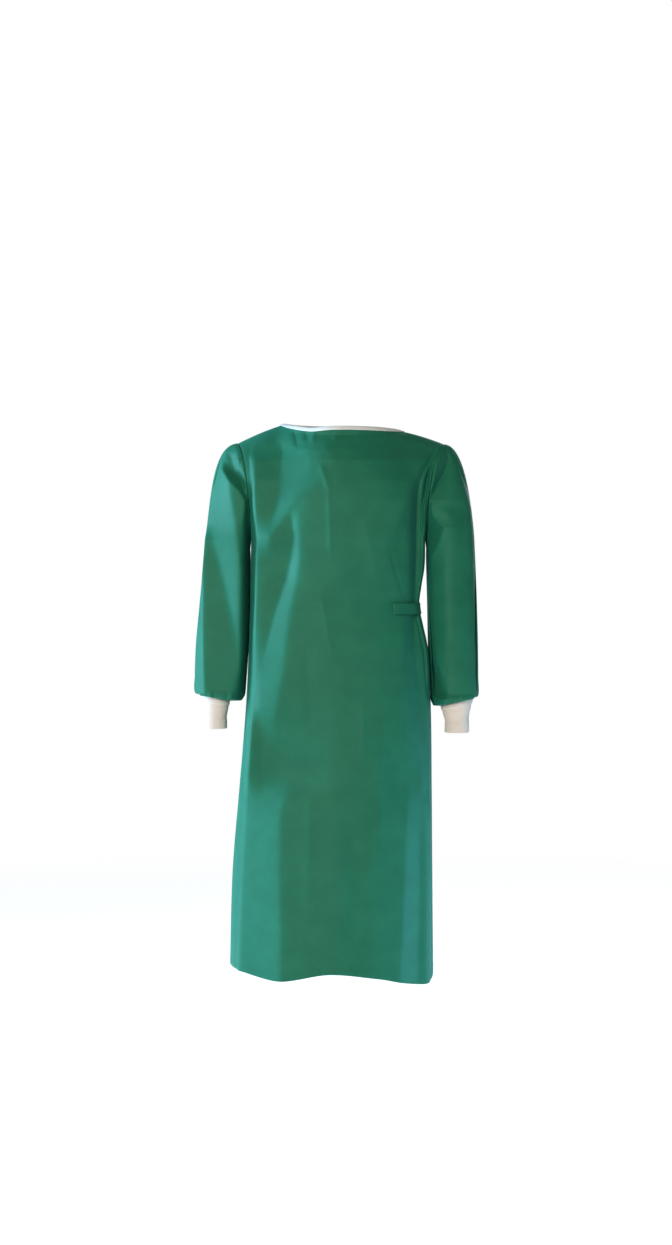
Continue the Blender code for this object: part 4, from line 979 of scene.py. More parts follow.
# Waves of the gathers: how many, share of the depth, and how far and how often they shift
GATHERS, GATHER_DEPTH = ((7, 1.0, 1, 2), (17, 0.35, 2, 1), (29, 0.2, 0, 0)), 2.6
Arm = namedtuple("Arm", "back edge rings lines cuff puff")


def gather(turn):
    """Uneven pleats round the wrist: a sum of waves, each the sine of a turn that goes round with
    the arm and sways to and fro."""
    whole = 2 * np.pi
    return GATHER_DEPTH * sum(
        share * np.sin(whole * count * turn + far * np.sin(whole * often * turn))
        for count, share, far, often in GATHERS
    )


def armhole(arm):
    """Loop up the front edge of the armhole and down the back one, halved between points, and the
    turn of each point."""
    count = len(YOKE_T)
    up, down = front_grid[count - 1 :: -1, arm.edge], arm.back[:count, arm.edge]
    turn = np.concatenate((0.5 * (1 - YOKE_T[::-1]), 0.5 + 0.5 * YOKE_T[1:-1]))
    ends = (up[0] + down[-1]) / 2, (up[-1] + down[0]) / 2
    loop = np.concatenate((ends[:1], up[1:-1], ends[1:], down[1:-1]))
    half_loop, half_turn = (loop + np.roll(loop, -1, 0)) / 2, (turn + np.append(turn[1:], 1)) / 2
    return np.stack((loop, half_loop), 1).reshape(-1, 3), np.stack((turn, half_turn), 1).ravel()


def crown(arm, hole, turn):
    """Head of the sleeve: a cubic curve from each point of the armhole to a level ring."""
    side, lead, top = np.sign(arm.cuff.x), read(CROWN, turn), SLEEVE_TOP_Z + 0 * turn
    start, end = hole + np.array((side * SEAM_GAP, 0, 0)), sleeve_ring(arm.rings, turn, top)
    rise = (end - sleeve_ring(arm.rings, turn, top - SLOPE_STEP)) / SLOPE_STEP
    leave = start + np.stack((side * lead.out * arm.puff, -lead.forward, lead.up), -1)
    return cubic(CROWN_T[:, None, None], start, leave, end + rise * lead.end_up[:, None], end)


def wrist(arm, turn):
    """Rings of the gathered end, which close in on the cuff and turn in over it."""
    steps, rings = np.arange(len(SLEEVE_TURN)), []
    rises, shares, gathers = np.array(SLEEVE_TURN, float).T
    narrow = cuff_ring(arm.cuff, turn, 0, -CUFF_OVERLAP)
    for step in np.linspace(0, steps[-1], TURN_ROWS):
        level = cuff_level(arm.cuff, turn) + np.interp(step, steps, rises)
        full = sleeve_ring(arm.rings, turn, level)
        spoke = unit((full - full.mean(0)) * (1, 1, 0))
        ring = full + (narrow - full) * smooth(step, steps, shares)
        ring += spoke * (gather(turn) * smooth(step, steps, gathers))[:, None]
        ring[:, 2] = level
        rings.append(ring)
    return rings


def sleeve(arm):
    """Crown, tube of level rings and gathered end, with the folds drawn on the front of the arm."""
    hole, turn = armhole(arm)
    head, end = crown(arm, hole, turn), wrist(arm, turn)
    levels = np.linspace(SLEEVE_TOP_Z, WRIST_TOP, TUBE_ROWS + 1)[1:]
    tube = [sleeve_ring(arm.rings, turn, z + 0 * turn) for z in levels]
    grid = np.concatenate((head, tube, end))
    y, z = grid[..., 1], grid[..., 2]
    away = np.concatenate((CROWN_T, np.ones(len(tube) + len(end))))[:, None]
    share = ease(away / HEAD_FADE) * ease((z - arm.cuff.z - FOLD_ROOM) / FOLD_FADE_LOW)
    share = share * ease((read(arm.rings, z).middle - y) / ARM_FADE) * (turn < 0.5)
    return grid + (fold(grid, arm.lines, SLEEVE_EDGE, SLEEVE_FADE) - grid) * share[..., None]


# %% Sleeve cloth
ARMS = {
    "right": Arm(right_grid, 0, SLEEVE_RIGHT, SLEEVE_RIGHT_LINES, CUFF_RIGHT, 1.0),
    "left": Arm(left_grid, -1, SLEEVE_LEFT, SLEEVE_LEFT_LINES, CUFF_LEFT, 0.74),
}
sleeves = {}
for side, arm in ARMS.items():
    name, grid = "sleeve_" + side, sleeve(arm)
    faces = quads(*grid.shape[:2], wrap=True, turned=side == "right")
    sleeves[name] = make_mesh(
        name + "_cloth", grid, faces, lengths(grid, wrap=True), green, name, CLOTH
    )

# %% [markdown]
# ## Knitted cuffs
# A cuff is a tube of rib knit, sewn into the gathered sleeve and doubled back at the wrist. Its
# ribs are ridges along the arm, so they are drawn into the outer layer of the tube, and two soft
# wrinkles cross them. The finish adds the stitches, as small waves across each rib.

# %% Knit finish
KNIT_DARK, KNIT_LIGHT = (0.52, 0.455, 0.45, 1), (0.67, 0.60, 0.59, 1)
RIBS = 84
COURSE = 1.25


def knit():
    """Stitches as a wave along the cloth's own UV, over a fine noise of yarn."""
    made, wire = new_finish("rib_knit")
    yarn = wire.noise(900.0, 2.0)
    loops = wire.math("SINE", wire.length("Y") * (2 * np.pi / (COURSE * MM)))
    finish_with(wire, {
        "Base Color": yarn.mix(KNIT_DARK, KNIT_LIGHT),
        "Roughness": 0.85 + yarn * 0.1, "Specular IOR Level": 0.15,
        "Sheen Weight": 0.2, "Sheen Roughness": 0.6,
        "Normal": (yarn * 0.5 + loops * 0.3).bump(0.5, 0.0005),
    })
    return made


rib_knit = knit()

# %% Cuffs
KNIT_WALL = 2.0
RIB_DEPTH = 0.75
CUFF_COLUMNS = RIBS * 4
# Rows outside, steps of the bend at the wrist and rows inside, and the share where the bend starts
CUFF_ROWS, CUFF_BENDS, CUFF_LINING_ROWS = 34, 6, 12
CUFF_STRAIGHT = 0.985
# Share of the cuff's length, width and depth of each wrinkle
WRINKLES = ((0.22, 0.05, 1.0), (0.60, 0.07, 0.7))


def cuff_tube(cuff):
    """Down the outside, round the fold at the wrist as half a circle, and up the inside. The ribs
    are a cosine round the tube, and each wrinkle is a groove exp(-(distance / width)^2)."""
    turn = np.arange(CUFF_COLUMNS) / CUFF_COLUMNS
    rib = RIB_DEPTH / 2 * np.cos(2 * np.pi * RIBS * turn)
    rows = []
    for share in np.linspace(0, CUFF_STRAIGHT, CUFF_ROWS):
        wrinkle = sum(deep * np.exp(-(((share - at) / wide) ** 2)) for at, wide, deep in WRINKLES)
        rows.append(cuff_ring(cuff, turn, share, rib - wrinkle))
    for bend in np.linspace(0, np.pi, CUFF_BENDS + 1)[1:-1]:
        share = CUFF_STRAIGHT + (1 - CUFF_STRAIGHT) * np.sin(bend)
        depth = KNIT_WALL / 2 * (1 - np.cos(bend))
        rows.append(cuff_ring(cuff, turn, share, rib * np.cos(bend / 2) - depth))
    for share in np.linspace(CUFF_STRAIGHT, 0, CUFF_LINING_ROWS):
        rows.append(cuff_ring(cuff, turn, share, -KNIT_WALL))
    return np.array(rows)


cuffs = {}
for side, arm in ARMS.items():
    name, grid = "cuff_" + side, cuff_tube(arm.cuff)
    faces = quads(*grid.shape[:2], wrap=True, ring=True, turned=side == "right")
    uv = lengths(grid, wrap=True)
    cuffs[name] = make_mesh(name + "_knit", grid, faces, uv, rib_knit, name)

# %% [markdown]
# ## Neck binding
# A narrow ribbed tape is folded over the neck edge, so it shows 9 mm outside and 5 mm inside. Its
# section is a long thin loop, carried along the edge from one back panel's end to the other's. On
# the outside it lies on the cloth, which is looked up below it.

# %% Closed bands along a path
def band(name, sections, finish, node):
    """Closed band with flat ends: rows are places along it, and columns go round its section."""
    stations, around = sections.shape[:2]
    turned = volume(sections, quads(stations, around, wrap=True)) < 0
    faces = closed_tube(stations, around, turned)
    return make_mesh(name, sections, faces, lengths(sections, wrap=True), finish, node)


def walk(line, step, *others):
    """Points a step apart along a line, and other values of the line read at the same places."""
    length = run(line)
    at = np.linspace(0, length[-1], int(length[-1] / step) + 1)
    return [
        np.stack([np.interp(at, length, column) for column in values.T], -1)
        for values in (line, *others)
    ]


def blur(values, passes):
    """Running average of neighbours along a line, a number of times, with its ends held."""
    for _ in range(passes):
        inner = (values[:-2] + 2 * values[1:-1] + values[2:]) / 4
        values = np.concatenate((values[:1], inner, values[-1:]))
    return values


def cloth_tree(*grids):
    """Faces of some grids, for finding the nearest place on them."""
    points, faces, count = [], [], 0
    for grid in grids:
        points.append(grid.reshape(-1, 3))
        faces.append(quads(*grid.shape[:2]) + count)
        count += len(points[-1])
    return BVHTree.FromPolygons(np.concatenate(points).tolist(), np.concatenate(faces).tolist())


# %% Tape finish
TAPE_DARK, TAPE_LIGHT = (0.52, 0.545, 0.60, 1), (0.64, 0.665, 0.72, 1)
TAPE_WEAVE = 0.9


def tape(name, dark, light, rib):
    """Woven ribs across a tape as a wave along its length, with a fine noise of threads."""
    made, wire = new_finish(name)
    thread = wire.noise(700.0, 2.0)
    wave = wire.math("SINE", wire.length("Y") * (2 * np.pi / (rib * MM)))
    finish_with(wire, {
        "Base Color": (thread * 0.6 + wave * 0.2 + 0.2).mix(dark, light),
        "Roughness": 0.6 + thread * 0.2, "Specular IOR Level": 0.2,
        "Normal": (thread + wave * 0.4).bump(0.4, 0.0004),
    })
    return made


ribbed_tape = tape("ribbed_tape", TAPE_DARK, TAPE_LIGHT, TAPE_WEAVE)

# %% The neck edge, from the outer back panel's end round the front to the inner one's
BINDING_WIDTH, BINDING_TURN_IN, BINDING_WALL = 9.0, 5.0, 0.7
# Distance between places along the edge, and passes of smoothing along it
EDGE_STEP, BINDING_BLUR, CLOTH_BLUR = 1.0, 60, 12
# Room under the tape, more of it near the neck points, and how far that reaches
BINDING_NEAR, NECK_POINT_ROOM, NECK_POINT_REACH = 0.4, 0.5, 22.0
TAPE_RIB, TAPE_RIB_DEPTH = 4.5, 0.16


def round_neck(right, front, left):
    """Values of the three panels along the neck edge."""
    return np.concatenate((
        right[0, right_at[0] >= -NECK_ANGLE][::-1], front[0, np.abs(front_at[0]) < NECK_ANGLE],
        left[0, left_at[0] <= NECK_ANGLE][::-1],
    ))


neck_normals = round_neck(right_normal, front_normal, left_normal)
edge, outward = walk(round_neck(right_grid, front_grid, left_grid), EDGE_STEP, neck_normals)
along = unit(blur(np.gradient(edge, axis=0), BINDING_BLUR))
down = unit(np.cross(along, unit(blur(outward, BINDING_BLUR))))
outward = np.cross(down, along)

# %% Neck binding
# Heights over the cloth: of the tape's near and far faces outside (near, far) and inside (lining,
# lining_far), and of the cloth's own edge
away = np.minimum(*(np.linalg.norm(edge - point, axis=-1) for point in (NECK_RIGHT, NECK_LEFT)))
near = BINDING_NEAR + NECK_POINT_ROOM * np.exp(-((away / NECK_POINT_REACH) ** 2))
far = near + BINDING_WALL + TAPE_RIB_DEPTH * np.sin(2 * np.pi * np.arange(len(edge)) / TAPE_RIB)
lining, cloth_edge = -CLOTH - BINDING_NEAR + 0 * far, -CLOTH / 2 + 0 * far
lining_far = lining - BINDING_WALL
# Round the section: height over the cloth, and distance below the neck edge
SECTION = (
    # up the outer face
    (far, BINDING_WIDTH - 0.2), (far, 6.6), (far, 4.2), (far, 1.9),
    # over the neck edge
    (far * 0.96, 0.3), (far * 0.55, -far * 0.75), (cloth_edge, -far * 1.05),
    (lining - far * 0.5, -far * 0.75), (lining_far, 0.3),
    # down and up again inside
    (lining_far, BINDING_TURN_IN), (lining, BINDING_TURN_IN + 0.1), (lining, 0.3),
    # back over the neck edge, close to the cloth, and down under the outer face
    (cloth_edge, -near * 0.9), (near * 0.9, 0.3), (near, 1.9), (near, 4.2), (near, 6.6),
    (near, BINDING_WIDTH - 0.1), ((near + far) / 2, BINDING_WIDTH),
)
LAID_BELOW = 1
sides = cloth_tree(front_grid, right_grid), cloth_tree(front_grid, left_grid)
half = (np.arange(len(edge)) > len(edge) / 2).astype(int)
rows = []
for height, reach in SECTION:
    line = edge + down * np.broadcast_to(reach, len(edge))[:, None]
    if np.min(reach) > LAID_BELOW:
        found = [sides[side].find_nearest(point)[0] for side, point in zip(half, line)]
        above = ((np.array(found) - line) * outward).sum(-1)
        line = line + outward * blur(above, CLOTH_BLUR)[:, None]
    rows.append(line + outward * height[:, None])
binding = band("neck_binding_tape", np.stack(rows, 1), ribbed_tape, "neck_binding")

# %% [markdown]
# ## Closure at the neck
# Below the binding, the two back panels are held by a hook strip on one and a loop strip on the
# other. They hide between the panels, so each is a thin flat pad that follows the plain back.

# %% Hook and loop strips
PATCH_ANGLES, PATCH_REACH = (-7, 7), (15, 36)
PATCH_ROWS, PATCH_COLUMNS = 12, 24
# Places down the yoke between which the way from the neck edge is measured
PATCH_T = np.linspace(0, 0.5, 80)
# How far the loop strip and the hook strip lie inside the plain back, and how thick they are
PATCH_DEPTHS, PATCH_WALL = (4.2, 5.9), 1.6
PATCH_DARK, PATCH_LIGHT = (0.55, 0.57, 0.58, 1), (0.74, 0.75, 0.75, 1)
PATCH_WEAVE = 0.6


def plain_back(angle, t):
    """Plain back at every pair of an angle and a place down the yoke."""
    return yoke(angle + 0 * t[:, None], t[:, None] + 0 * angle, front=False)


patch_at = np.linspace(*PATCH_ANGLES, PATCH_COLUMNS)
patch_down = run(plain_back(patch_at, PATCH_T)).mean(1)
patch = plain_back(patch_at, np.interp(np.linspace(*PATCH_REACH, PATCH_ROWS), patch_down, PATCH_T))
pads = np.array([patch - normals(patch) * depth for depth in PATCH_DEPTHS])
pad_faces = quads(PATCH_ROWS, PATCH_COLUMNS, turned=True)
pad_faces = np.concatenate((pad_faces, pad_faces + PATCH_ROWS * PATCH_COLUMNS))
pad_uv = np.array([lengths(patch)] * len(PATCH_DEPTHS))
fleece = tape("hook_and_loop", PATCH_DARK, PATCH_LIGHT, PATCH_WEAVE)
closure = make_mesh(
    "neck_closure_strips", pads, pad_faces, pad_uv, fleece, "neck_closure", PATCH_WALL
)

# %% [markdown]
# ## Waist ties
# Each tie is a strip of the gown's cloth, folded and stitched to 21 mm. One is box-stitched to the
# front at the wearer's left and the other to the outer back panel. They meet in a knot behind the
# left side, and their free ends hang from it. A tie under tension doesn't follow small creases, so
# its height over the plain body is the highest cloth near it, smoothed.

# %% Strips over the body
TIE_Z, TIE_WIDTH, TIE_WALL, TIE_LIFT = -365, 21.0, 1.2, 0.8
# Rows of body over which a tie takes the highest cloth, passes of smoothing, and rows to a degree
TIE_SPAN, TIE_BLUR, TIE_ROWS = 4, 8, 1.3
# Angles where the ties start; how far the front one sags, up to this angle, and over how many
TIE_FRONT_START, TIE_BACK_START = 46, 153
TIE_SAG, TIE_SAG_END, TIE_SAG_RUN = 5.5, 112, 45
KNOT_ANGLE, KNOT_HALF = 125, (13.0, 7.0, 13.5)
KNOT_RISE, KNOT_RISE_ANGLE, KNOT_RISE_LENGTH = 5.2, 8, 36
KNOT_CLEAR, KNOT_SIDE_GAP, KNOT_PLACES = 1.1, 0.6, 33
FREE_ROWS = 90
FreeEnd = namedtuple("FreeEnd", "name length angle_top angle_end lift lift_end")
FREE_ENDS = (
    FreeEnd("tie_end_long", 250, 124, 119.5, 0.8, 1.4),
    FreeEnd("tie_end_short", 205, 126, 132, 3.1, 2.8),
)
# Round the section of a strip: share of its half width, and of its thickness from the cloth up
STRIP = (
    (-0.95, 1), (-0.86, 0.93), (-0.5, 0.97), (0, 1), (0.5, 0.97), (0.86, 0.93), (0.95, 1),
    (0.99, 0.75), (1, 0.4), (0.98, 0.05), (0.5, 0), (0, 0), (-0.5, 0), (-0.98, 0.05), (-1, 0.4),
    (-0.99, 0.75),
)
ACROSS, UP = np.array(STRIP).T
# Step in degrees and mm for normals, and where look-ups of the cloth start, outside the body
NORMAL_STEP, REACH_OUT = 0.5, 60.0
body_cloth = cloth_tree(front_grid, right_grid, left_grid)
Strap = namedtuple("Strap", "piece points normal")


def plain_skirt(angle, z):
    """Plain body below the armholes, and its outward normals."""
    angle, z = np.broadcast_arrays(np.asarray(angle, float), np.asarray(z, float))
    base, step = body(angle, z), NORMAL_STEP
    return base, unit(np.cross(body(angle + step, z) - base, body(angle, z + step) - base))


def cloth_height(base, normal):
    """How far the creased cloth stands above the plain body, looked up along the body's normals."""
    heights = []
    for point, way in zip(base.reshape(-1, 3), normal.reshape(-1, 3)):
        hit = body_cloth.ray_cast(Vector(point + way * REACH_OUT), Vector(-way), 2 * REACH_OUT)
        heights.append(REACH_OUT - hit[3] if hit[0] is not None else 0.0)
    return np.array(heights).reshape(base.shape[:-1])


def strap(name, angle, z, lift, half_width=None):
    """Strip over the body. Rows are places along it, and the section of the strip goes round it. It
    runs round the body, or down it where its half width is given in degrees."""
    if half_width is None:
        base, normal = plain_skirt(angle[:, None], z[:, None] + ACROSS * TIE_WIDTH / 2)
    else:
        base, normal = plain_skirt(angle[:, None] + ACROSS * half_width, z[:, None])
    stands = cloth_height(base, normal).max(1)
    highest = np.max([np.roll(stands, k) for k in range(-TIE_SPAN, TIE_SPAN + 1)], 0)
    height = blur(np.maximum(highest, 0), TIE_BLUR)[:, None] + lift[:, None] + TIE_WALL * UP
    points = base + normal * height[..., None]
    return Strap(band(name + "_strip", points, green, name), points, normal)


# %% Ties, from their box-stitched ends to the knot
# A tie ends where it meets the side of the knot, which is read off a line at the tie's height
at_knot, knot_out = plain_skirt(KNOT_ANGLE, TIE_Z)
knot_side = unit(np.cross((0, 0, 1), knot_out))
angles = np.linspace(KNOT_ANGLE - KNOT_RISE_ANGLE, KNOT_ANGLE + KNOT_RISE_ANGLE, KNOT_PLACES)
line, line_out = plain_skirt(angles, TIE_Z)
offsets = (line + line_out * (TIE_LIFT + KNOT_RISE + TIE_WALL / 2) - at_knot) @ knot_side
reach = (KNOT_HALF[0] + KNOT_SIDE_GAP) * np.sign(offsets[-1])
order = np.argsort(offsets)
before, after = np.interp((-reach, reach), offsets[order], angles[order])
ties = {}
spans = (("tie_front", TIE_FRONT_START, before), ("tie_back", TIE_BACK_START, after))
for name, start, end in spans:
    angle = np.linspace(start, end, int(abs(end - start) * TIE_ROWS))
    lift = TIE_LIFT + KNOT_RISE * ease(1 - np.abs(end - angle) / KNOT_RISE_ANGLE)
    sag = TIE_SAG * ease((TIE_SAG_END - angle) / TIE_SAG_RUN) if name == "tie_front" else 0
    ties[name] = strap(name, angle, TIE_Z - sag + 0 * angle, lift)

# %% Free ends
degrees_a_mm = 2 * KNOT_RISE_ANGLE / abs(offsets[-1] - offsets[0])
share = np.linspace(0, 1, FREE_ROWS)
free = {}
for row in FREE_ENDS:
    below = KNOT_CLEAR + row.length * share
    middle = row.angle_top + (row.angle_end - row.angle_top) * ease(share)
    rise = KNOT_RISE * ease(1 - below / KNOT_RISE_LENGTH)
    lift = row.lift + (row.lift_end - row.lift) * share + rise
    z = TIE_Z - KNOT_HALF[2] - below
    free[row.name] = strap(row.name, middle, z, lift, TIE_WIDTH / 2 * degrees_a_mm)

# %% Knot
# Squareness of the core and of the bands, rows and columns of the core, and rows of a band
KNOT_SQUARE, BAND_SQUARE = 3.2, 2.6
CORE_ROWS, CORE_COLUMNS, BAND_ROWS = 22, 40, 64
CORE = (0.84, 0.72, 0.86)
# A band is this narrow behind, and its edges lie this much lower than its middle
BAND_NARROW, BAND_CROWN = 0.62, 0.16
# Turn of each band from upright, its width, and its size within the reach of the knot
KNOT_BANDS = ((8, 15.0, 1.0), (-64, 13.0, 0.93), (52, 12.0, 0.87))
knot_centre = at_knot + knot_out * (TIE_LIFT + KNOT_HALF[1])


def power(value, square):
    """A sine or cosine made squarer: its size to the power 2 / square, with its sign."""
    return np.sign(value) * np.abs(value) ** (2 / square)


def in_knot(side, out, up):
    """Places given from the middle of the knot: along the tie, out of the body and up."""
    return knot_centre + np.stack((side, out, up), -1) @ np.array((knot_side, knot_out, (0, 0, 1)))


def knot_core():
    """A squarish ball: sines and cosines of climb and turn, each made squarer."""
    climb = np.linspace(-np.pi / 2, np.pi / 2, CORE_ROWS + 2)[1:-1, None]
    turn = np.arange(CORE_COLUMNS) * 2 * np.pi / CORE_COLUMNS
    half_side, half_out, half_up = np.array(KNOT_HALF) * CORE
    level = power(np.cos(climb), KNOT_SQUARE)
    side = level * power(np.cos(turn), KNOT_SQUARE) * half_side
    out = level * power(np.sin(turn), KNOT_SQUARE) * half_out
    return in_knot(side, out, power(np.sin(climb), KNOT_SQUARE) * half_up + 0 * turn)


def knot_band(turned, wide, size):
    """A strip bent round the core: a squarish ring, widest in the middle of its front."""
    way, tilt = np.linspace(0, 2 * np.pi, BAND_ROWS + 1)[:-1, None], np.radians(turned)
    narrowed = BAND_NARROW + (1 - BAND_NARROW) * np.maximum(np.cos(way), 0)
    beside = ACROSS * wide / 2 * narrowed
    thick = TIE_WALL * (UP - 1)
    half_side, half_out, half_up = KNOT_HALF
    half_run = half_up * np.cos(tilt) ** 2 + half_side * np.sin(tilt) ** 2
    ahead = power(np.sin(way), BAND_SQUARE) * (half_run * size + thick)
    crown = half_out * size * (1 - BAND_CROWN * ACROSS**2)
    out = power(np.cos(way), BAND_SQUARE) * (crown + thick)
    side = np.clip(beside * np.cos(tilt) + ahead * np.sin(tilt), -half_side, half_side)
    up = np.clip(ahead * np.cos(tilt) - beside * np.sin(tilt), -half_up, half_up)
    return in_knot(side, out, up)


core = knot_core()
knot_points, knot_faces = core.reshape(-1, 3), closed_tube(CORE_ROWS, CORE_COLUMNS)
for row in KNOT_BANDS:
    ring = knot_band(*row)
    cells = quads(*ring.shape[:2], wrap=True, ring=True)
    cells = cells if volume(ring - knot_centre, cells) > 0 else cells[:, ::-1]
    knot_faces += (cells + len(knot_points)).tolist()
    knot_points = np.concatenate((knot_points, ring.reshape(-1, 3)))
from_centre = knot_points - knot_centre
knot_uv = np.stack((from_centre @ knot_side, from_centre[:, 2]), -1)
knot = make_mesh("tie_knot_bands", knot_points, knot_faces, knot_uv, green, "tie_knot")

# %% [markdown]
# ## Stitches
# The turned-up hem, the lapped edge, the tape and the ties are sewn by machine. Each stitch is a
# short thread, thicker in its middle, laid on the cloth along a path, and all stitches of one
# colour are one mesh.

# %% One stitch, and rows of them
STITCH_LENGTH, STITCH_GAP, STITCH_RADIUS = 2.7, 1.1, 0.24
# Rings of a stitch: share of its length from the middle, and of its radius
STITCH_RINGS = ((-0.5, 0.3), (-0.3, 0.9), (0, 1.0), (0.3, 0.9), (0.5, 0.3))
STITCH_SIDES = 6
# In the section of a strip: how many points its upper face has, its middle and its two seams
STRIP_TOP, STRIP_MIDDLE, STRIP_SEAMS = 7, 3, (1, 5)
# Steps of a path from one of its places to the next
LEG_STEPS = 12


def stitches(path, outward):
    """Points of all stitches along a path: every stitch is the same few rings of six points, set
    along the path, across it and out of the cloth, which it is sunk into by half its radius."""
    place, out = walk(path, STITCH_LENGTH + STITCH_GAP, outward)
    along = unit(np.gradient(place, axis=0))
    out = unit(out - along * (out * along).sum(-1, keepdims=True))
    frames = np.stack((along, np.cross(out, along), out), 1)
    turn = np.arange(STITCH_SIDES) * 2 * np.pi / STITCH_SIDES
    far, wide = np.array(STITCH_RINGS).T[..., None]
    beside, up = wide * STITCH_RADIUS * np.cos(turn), wide * STITCH_RADIUS * np.sin(turn)
    one = np.stack((far * STITCH_LENGTH + 0 * turn, beside, up + STITCH_RADIUS / 2), -1)
    return place[:, None, None] + np.einsum("rsa,kab->krsb", one, frames)


def sew(name, paths, finish):
    """One mesh of the stitches along some paths."""
    points = np.concatenate([stitches(path, outward) for path, outward in paths])
    one = closed_tube(len(STITCH_RINGS), STITCH_SIDES, turned=True)
    size = len(STITCH_RINGS) * STITCH_SIDES
    faces = [[corner + first for corner in face] for first in range(0, len(points) * size, size)
             for face in one]
    return make_mesh(name, points, faces, np.zeros((len(points) * size, 2)), finish)


def between(grid, row, column):
    """Values of a grid between its rows and columns, each mixed from the four points round it."""
    r, c = np.minimum(row.astype(int), len(grid) - 2), column.astype(int)
    down, across = (row - r)[:, None], (column - c)[:, None]
    near = grid[r, c] * (1 - across) + grid[r, c + 1] * across
    return near * (1 - down) + (grid[r + 1, c] * (1 - across) + grid[r + 1, c + 1] * across) * down


def across_strap(made, places):
    """Path on a strap through places given as share across and distance from its start in mm."""
    length = run(made.points[:, STRIP_MIDDLE])
    share, distance = np.array(places, float).T
    legs = np.arange(len(places))
    t = np.linspace(0, legs[-1], LEG_STEPS * legs[-1] + 1)
    row = np.interp(t, legs, np.interp(distance, length, np.arange(len(length))))
    column = np.interp(t, legs, np.interp(share, ACROSS[:STRIP_TOP], np.arange(STRIP_TOP)))
    return between(made.points, row, column), between(made.normal, row, column)


# %% Rows of stitches
THREAD_DARK, THREAD_LIGHT = (0.008, 0.10, 0.068, 1), (0.02, 0.15, 0.105, 1)
THREAD_WEAVE = 0.5
# Rows from the lower edge up to the hem's stitches, and the column and first row of the lap's
HEM_STITCH = 2.2
LAP_STITCH, LAP_TOP = -4, 4
# Places left free at the ends of the tape, and how near its stitches run to its lower edge
TAPE_ENDS, TAPE_STITCH = 6, 0.55
STRIP_ENDS = 2
# A box with its diagonals, between its seams and two distances from the start of a tie
SEAM, BOX_START, BOX_END = 0.86, 2, 19
BOX = (
    (-SEAM, BOX_START), (SEAM, BOX_START), (SEAM, BOX_END), (-SEAM, BOX_END), (-SEAM, BOX_START),
    (SEAM, BOX_END),
)
BOX_REST = ((SEAM, BOX_START), (-SEAM, BOX_END))
END_STITCH = 3


def hem_row(grid, normal):
    """Line a little above the lower edge, between two rows of the panel."""
    whole, part = int(HEM_STITCH), HEM_STITCH % 1
    return grid[-1 - whole] * (1 - part) + grid[-2 - whole] * part, normal[-1 - whole]


paths = [
    hem_row(front_grid, front_normal), hem_row(right_grid, right_normal),
    hem_row(left_grid, left_normal),
    (right_grid[LAP_TOP:-1, LAP_STITCH], right_normal[LAP_TOP:-1, LAP_STITCH]),
]
for made in [*ties.values(), *free.values()]:
    inner = slice(STRIP_ENDS, -STRIP_ENDS)
    paths += [(made.points[inner, seam], made.normal[inner, seam]) for seam in STRIP_SEAMS]
for made in ties.values():
    paths += [across_strap(made, BOX), across_strap(made, BOX_REST)]
for made in free.values():
    end = run(made.points[:, STRIP_MIDDLE])[-1] - END_STITCH
    paths.append(across_strap(made, ((-SEAM, end), (SEAM, end))))
green_thread = tape("green_thread", THREAD_DARK, THREAD_LIGHT, THREAD_WEAVE)
white_thread = tape("white_thread", TAPE_DARK, TAPE_LIGHT, THREAD_WEAVE)
green_stitches = sew("green_stitches", paths, green_thread)
tape_line = rows[0] * TAPE_STITCH + rows[1] * (1 - TAPE_STITCH)
sewn = slice(TAPE_ENDS, -TAPE_ENDS)
tape_stitches = sew("tape_stitches", [(tape_line[sewn], outward[sewn])], white_thread)

# %% [markdown]
# ## The cut pieces
# The three panels, both sleeves and both cuffs are looked up by name here, and nothing more is
# done with them. The turned-up hem and the cloth inside the seams don't show.

# %% The pieces by name
front, back_right, back_left = panels["front"], panels["back_right"], panels["back_left"]
for side, back in (("right", back_right), ("left", back_left)):
    arm = sleeves["sleeve_" + side]
for side in ARMS:
    cuff, arm = cuffs["cuff_" + side], sleeves["sleeve_" + side]

# %% [markdown]
# ## Floor and light
# A pale floor and a soft white room. Daylight comes through a tall window almost square to the
# side, on the picture's left. It grazes the front, so only creases that lean towards it light up,
# and it is blue beside the warm lamp that fills the front. A small blue lamp low on the right draws
# the cool stripe there, and one behind lights the back.

# %% Floor
FLOOR_Z, FLOOR_HALF = -1530 * MM, 60
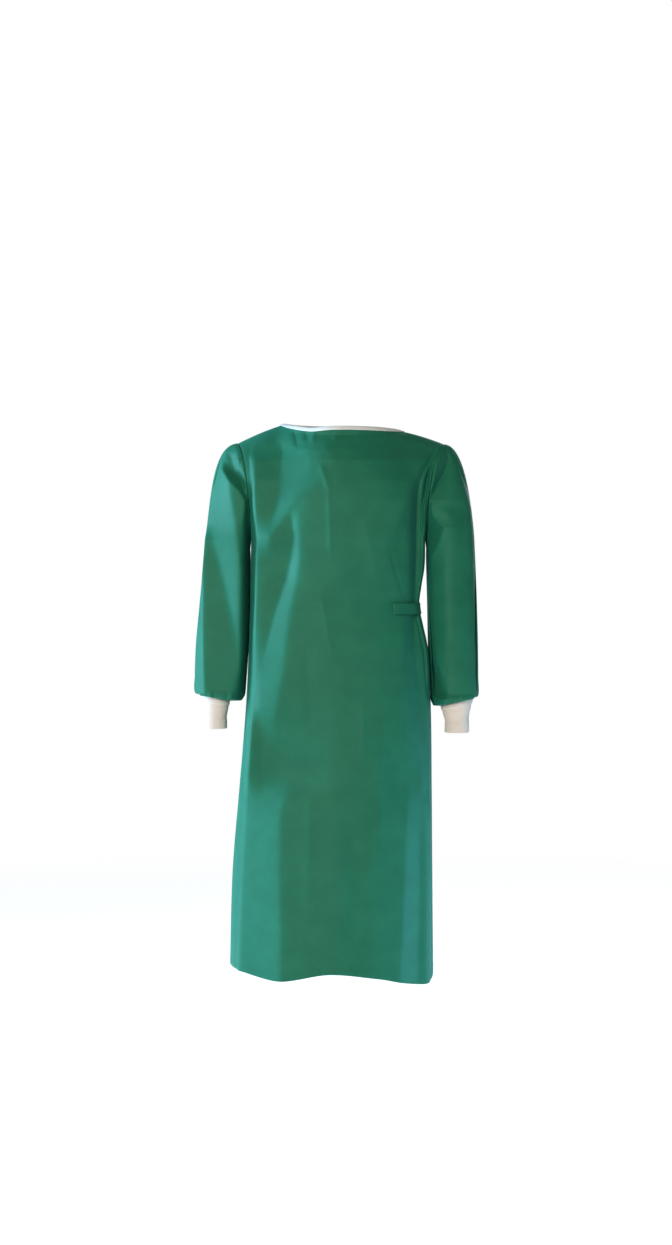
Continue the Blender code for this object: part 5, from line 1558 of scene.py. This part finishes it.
# Metres from the middle between which the floor fades out
FLOOR_FADE = (2.2, 5.5)
floor_mesh = bpy.data.meshes.new("floor")
ways = ((-1, -1), (1, -1), (1, 1), (-1, 1))
corners = [(x * FLOOR_HALF, y * FLOOR_HALF, FLOOR_Z) for x, y in ways]
floor_mesh.from_pydata(corners, [], [(0, 1, 2, 3)])
floor = add("floor", floor_mesh)
pale, wire = new_finish("pale_floor")
place = wire.node("ShaderNodeTexCoord", out="Object")
away = wire.node("ShaderNodeVectorMath", {0: place}, out="Value", operation="LENGTH")
fade = {
    "Value": away, "From Min": FLOOR_FADE[0], "From Max": FLOOR_FADE[1],
    "To Min": 1.0, "To Max": 0.0,
}
finish_with(wire, {
    "Base Color": (0.86, 0.86, 0.86, 1), "Roughness": 0.9, "Specular IOR Level": 0.1,
    "Emission Color": (1, 0.98, 0.95, 1), "Emission Strength": 0.42,
    "Alpha": wire.node("ShaderNodeMapRange", fade, interpolation_type="SMOOTHSTEP"),
})
floor_mesh.materials.append(pale)


# %% Lights
def area_light(name, at, size, power, color, aim=(0, 0, -0.55), spread=180):
    """Rectangular light that looks at a point of the gown, with its spread in degrees."""
    lamp = bpy.data.lights.new(name, "AREA")
    lamp.shape, lamp.size, lamp.size_y = "RECTANGLE", size[0], size[1]
    lamp.energy, lamp.color, lamp.spread = power, color, np.radians(spread)
    made = add(name, lamp)
    made.location = at
    made.rotation_euler = (Vector(aim) - Vector(at)).to_track_quat("-Z", "Y").to_euler()


area_light("window", (-4.2, 0.42, 0.3), (0.8, 2.4), 440, (0.42, 0.76, 1.0))
area_light("fill", (-1.1, -4.2, 0.5), (1.6, 1.6), 160, (1.0, 0.93, 0.74))
area_light(
    "low_window", (2.3, 0.0, -1.25), (0.4, 0.5), 2.2, (0.25, 0.7, 1.0), (0.15, -0.1, -0.98), 30
)
area_light("back_window", (1.4, 3.9, 0.9), (1.4, 2.4), 60, (0.72, 0.86, 1.0))

world = bpy.data.worlds.new("room")
world.use_nodes = True
world.node_tree.nodes.clear()
wire = Wire(world.node_tree)
seen = wire.node("ShaderNodeBackground", {"Color": (1, 1, 1, 1), "Strength": 1.0})
felt = wire.node("ShaderNodeBackground", {"Color": (1.0, 0.95, 0.84, 1), "Strength": 0.22})
camera_ray = wire.node("ShaderNodeLightPath")
both = wire.node("ShaderNodeMixShader", {0: camera_ray, 1: felt, 2: seen})
wire.node("ShaderNodeOutputWorld", {"Surface": both})
bpy.context.scene.world = world
bpy.context.scene.view_settings.view_transform = "Standard"
